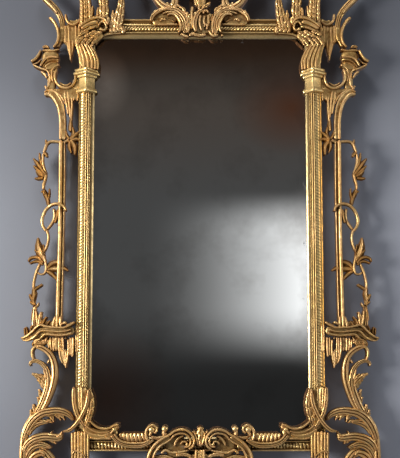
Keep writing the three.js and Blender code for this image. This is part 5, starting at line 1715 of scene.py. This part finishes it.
@dataclass(frozen=True)
class Stage:
    """A grey studio wall, a pale floor, soft lamps and what the glass reflects."""

    wall: float = 0.012
    floor: float = -1.35
    width: float = 7.0
    height: float = 3.4
    fold: float = 0.5
    reflected: float = -4.2
    lamps: tuple[Lamp, ...] = (
        Lamp("key", (-2.5, -1.7, 0.05), (0, 0, 0), 1.1, 122, (1.0, 0.97, 0.92)),
        Lamp("window", (2.7, -1.3, 0.4), (0, 0, 0), 1.2, 19, (0.96, 0.98, 1.0)),
        Lamp("above", (-0.4, -1.7, 2.6), (0, 0, 0.2), 1.0, 24),
        Lamp("behind_left", (-1.6, 1.8, 1.4), (0, 0, 0), 1.4, 34),
        Lamp("behind_right", (1.6, 2.0, 0.2), (0, 0, 0), 1.4, 22),
    )

    def sheet(self, name: str, points: np.ndarray, material: bpy.types.Material) -> bpy.types.Object:
        """A smooth stage surface.

        Args:
            name: the object's name.
            points: a grid of points.
            material: its finish.

        Returns:
            The object.
        """
        rows, columns = points.shape[:2]
        i, j = np.meshgrid(np.arange(rows - 1), np.arange(columns - 1), indexing="ij")
        corner = i * columns + j
        faces = np.stack([corner, corner + 1, corner + columns + 1, corner + columns], -1).reshape(-1, 4)
        mesh = bpy.data.meshes.new(name)
        mesh.from_pydata(points.reshape(-1, 3).tolist(), [], faces.tolist())
        mesh.shade_smooth()
        mesh.materials.append(material)
        thing = bpy.data.objects.new(name, mesh)
        bpy.context.collection.objects.link(thing)
        return thing

    def wall_material(self) -> bpy.types.Material:
        """Blue-grey plaster with painted light and shade, seen from the front only, so that the back of the
        mirror can be seen.

        Returns:
            The material.
        """
        material, graph, shader = blank("studio_wall")
        where = graph.node("TexCoord").outputs["Object"]
        cloud = graph.noise(where, 1.3, 2.0)
        axes = graph.node("SeparateXYZ", {0: where}).outputs
        # Painted light and shade on the wall and floor: darkest at the top, lighter lower down, lightest to
        # the right and at the far left, and darker again low on the left; the cloud noise adds uneven tone.
        lower = graph.ramp(axes[2], 0.65, -0.1, soft=True)
        beside = graph.ramp(axes[0], -0.2, 0.5, soft=True)
        outer = graph.math("MULTIPLY", graph.ramp(axes[0], -0.33, -0.62, soft=True), lower)
        painted_light = graph.mix(lower, (0.097, 0.104, 0.125, 1), (0.185, 0.198, 0.232, 1))
        painted_light = graph.mix(graph.math("MULTIPLY", beside, lower), painted_light, (0.320, 0.338, 0.392, 1))
        painted_light = graph.mix(graph.math("MULTIPLY", outer, 0.5), painted_light, (0.27, 0.285, 0.32, 1))
        foot = graph.ramp(axes[2], -0.30, -0.66, 0.0, 0.5, soft=True)
        foot = graph.math("MULTIPLY", foot, graph.ramp(axes[0], 0.2, -0.2))
        painted_light = graph.mix(foot, painted_light, (0.150, 0.162, 0.195, 1))
        tone = graph.mix(graph.ramp(cloud, 0.2, 0.8, 0.0, 0.2), painted_light, (0.140, 0.150, 0.180, 1))
        graph.tree.links.new(tone, shader.inputs["Base Color"])
        shader.inputs["Roughness"].default_value = 0.9
        clear = graph.node("BsdfTransparent").outputs[0]
        back = graph.node("NewGeometry").outputs["Backfacing"]
        mixed = graph.node("MixShader", {0: back, 1: shader.outputs[0], 2: clear})
        end = material.node_tree.nodes["Material Output"]
        graph.tree.links.new(mixed.outputs[0], end.inputs["Surface"])
        return material

    def card_material(self) -> bpy.types.Material:
        """What the glass reflects: a dim card, bright to one side, seen in reflections only.

        Returns:
            The material.
        """
        material, graph, _ = blank("room_behind_the_camera")
        where = graph.node("TexCoord").outputs["Object"]
        axes = graph.node("SeparateXYZ", {0: where}).outputs

        def glow(x: float, z: float, wide: float, tall: float) -> bpy.types.NodeSocket:
            """A soft round spot: one less its distance from the middle, in its own half sizes.

            Args:
                x: its middle across, in metres, as all the rest.
                z: its middle's height.
                wide: half of its width.
                tall: half of its height.

            Returns:
                The spot's strength, from 0 to 1.
            """
            across = graph.math("DIVIDE", graph.math("SUBTRACT", axes[0], x), wide)
            up = graph.math("DIVIDE", graph.math("SUBTRACT", axes[2], z), tall)
            square = graph.math("MULTIPLY", across, across)
            square = graph.math("ADD", square, graph.math("MULTIPLY", up, up))
            return graph.ramp(graph.math("SUBTRACT", 1.0, graph.math("SQRT", square)), 0.0, 1.0)

        across = graph.math("POWER", graph.ramp(axes[0], -0.42, 0.66), 2.3)
        sill = graph.ramp(axes[2], -0.42, 0.0, soft=True)
        lintel = graph.ramp(axes[2], 0.46, 0.76, 1.0, 0.0, soft=True)
        window = graph.math("MULTIPLY", across, graph.math("MULTIPLY", sill, lintel))
        room = graph.math(
            "MULTIPLY", graph.ramp(axes[2], -0.55, 0.05, 0.024, 0.088, soft=True),
            graph.ramp(axes[2], 1.25, 1.78, 1.0, 0.36, soft=True),
        )
        dull = graph.math("MULTIPLY", glow(-0.66, 1.48, 0.20, 0.26), 0.11)
        light = graph.math("ADD", graph.math("MULTIPLY", window, 1.42), graph.math("ADD", dull, room))
        tone = graph.mix(graph.ramp(axes[2], 0.6, 1.4, soft=True), (0.95, 0.97, 1.0, 1), (1.0, 0.84, 0.74, 1))
        tone = graph.mix(graph.ramp(axes[2], 1.45, 1.75, soft=True), tone, (1.0, 0.56, 0.35, 1))
        tone = graph.mix(glow(0.62, 1.32, 0.42, 0.34), tone, (1.0, 0.42, 0.24, 1))
        tone = graph.mix(glow(-0.62, -0.62, 0.5, 0.5), tone, (1.0, 0.62, 0.5, 1))
        lamp = graph.node("Emission", {"Color": tone, "Strength": light}).outputs[0]
        clear = graph.node("BsdfTransparent").outputs[0]
        rays = graph.node("LightPath").outputs["Is Glossy Ray"]
        mixed = graph.node("MixShader", {0: rays, 1: clear, 2: lamp})
        graph.tree.links.new(mixed.outputs[0], material.node_tree.nodes["Material Output"].inputs["Surface"])
        return material

    def build(self) -> None:
        """Adds the wall with its cove and floor, the card, the lamps and the world."""
        angle = np.linspace(0, np.pi / 2, 9)
        drop = np.concatenate([[self.wall], self.wall - self.fold * (1 - np.cos(angle)), [-6.0]])
        rise = np.concatenate([[self.height], self.floor + self.fold * (1 - np.sin(angle)), [self.floor]])
        across = np.linspace(-self.width / 2, self.width / 2, 3)
        points = np.stack([
            across[None] + 0 * drop[:, None], drop[:, None] + 0 * across, rise[:, None] + 0 * across,
        ], -1)
        wall = self.sheet("wall_and_floor", points[:, ::-1], self.wall_material())
        wall.visible_shadow = False
        x, z = np.meshgrid(np.linspace(-0.85, 0.85, 2), np.linspace(-1.0, 2.0, 2))
        card = np.stack([x, np.full(x.shape, self.reflected), z], -1)
        self.sheet("reflected_room", card, self.card_material())
        for lamp in self.lamps:
            lamp.build()
        world = bpy.data.worlds.new("studio")
        bpy.context.scene.world = world
        world.use_nodes = True
        sky = world.node_tree.nodes["Background"]
        sky.inputs["Color"].default_value = (0.86, 0.86, 0.88, 1)
        sky.inputs["Strength"].default_value = 0.19
        bpy.context.scene.view_settings.view_transform = "Standard"


@dataclass(frozen=True)
class Camera:
    """The photo's view, as measured from its verticals and the height of its horizon."""

    at: tuple[float, float, float] = (0.0, -3.035, -0.348)
    pitch: float = 6.7
    pixels: float = 1091.0
    photo_height: int = 458
    sensor: float = 24.0

    def build(self) -> None:
        """Adds the camera and makes it the scene's."""
        data = bpy.data.cameras.new("camera")
        data.sensor_fit, data.sensor_height = "VERTICAL", self.sensor
        data.lens = self.pixels * self.sensor / self.photo_height
        camera = bpy.data.objects.new("camera", data)
        camera.location = self.at
        camera.rotation_euler = (math.radians(90 + self.pitch), 0, 0)
        bpy.context.collection.objects.link(camera)
        bpy.context.scene.camera = camera


def main() -> None:
    """Loads the frame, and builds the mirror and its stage."""
    logging.basicConfig(level=logging.INFO, format="%(name)s: %(message)s")
    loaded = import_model()
    places = Places.read()
    LOG.info("places: %s", places)
    mirror = PierMirror(places, Finishes.make())
    mirror.carve()
    mirror.finish(loaded["nodes"])
    Stage().build()
    Camera().build()


if __name__ == "__main__":
    main()
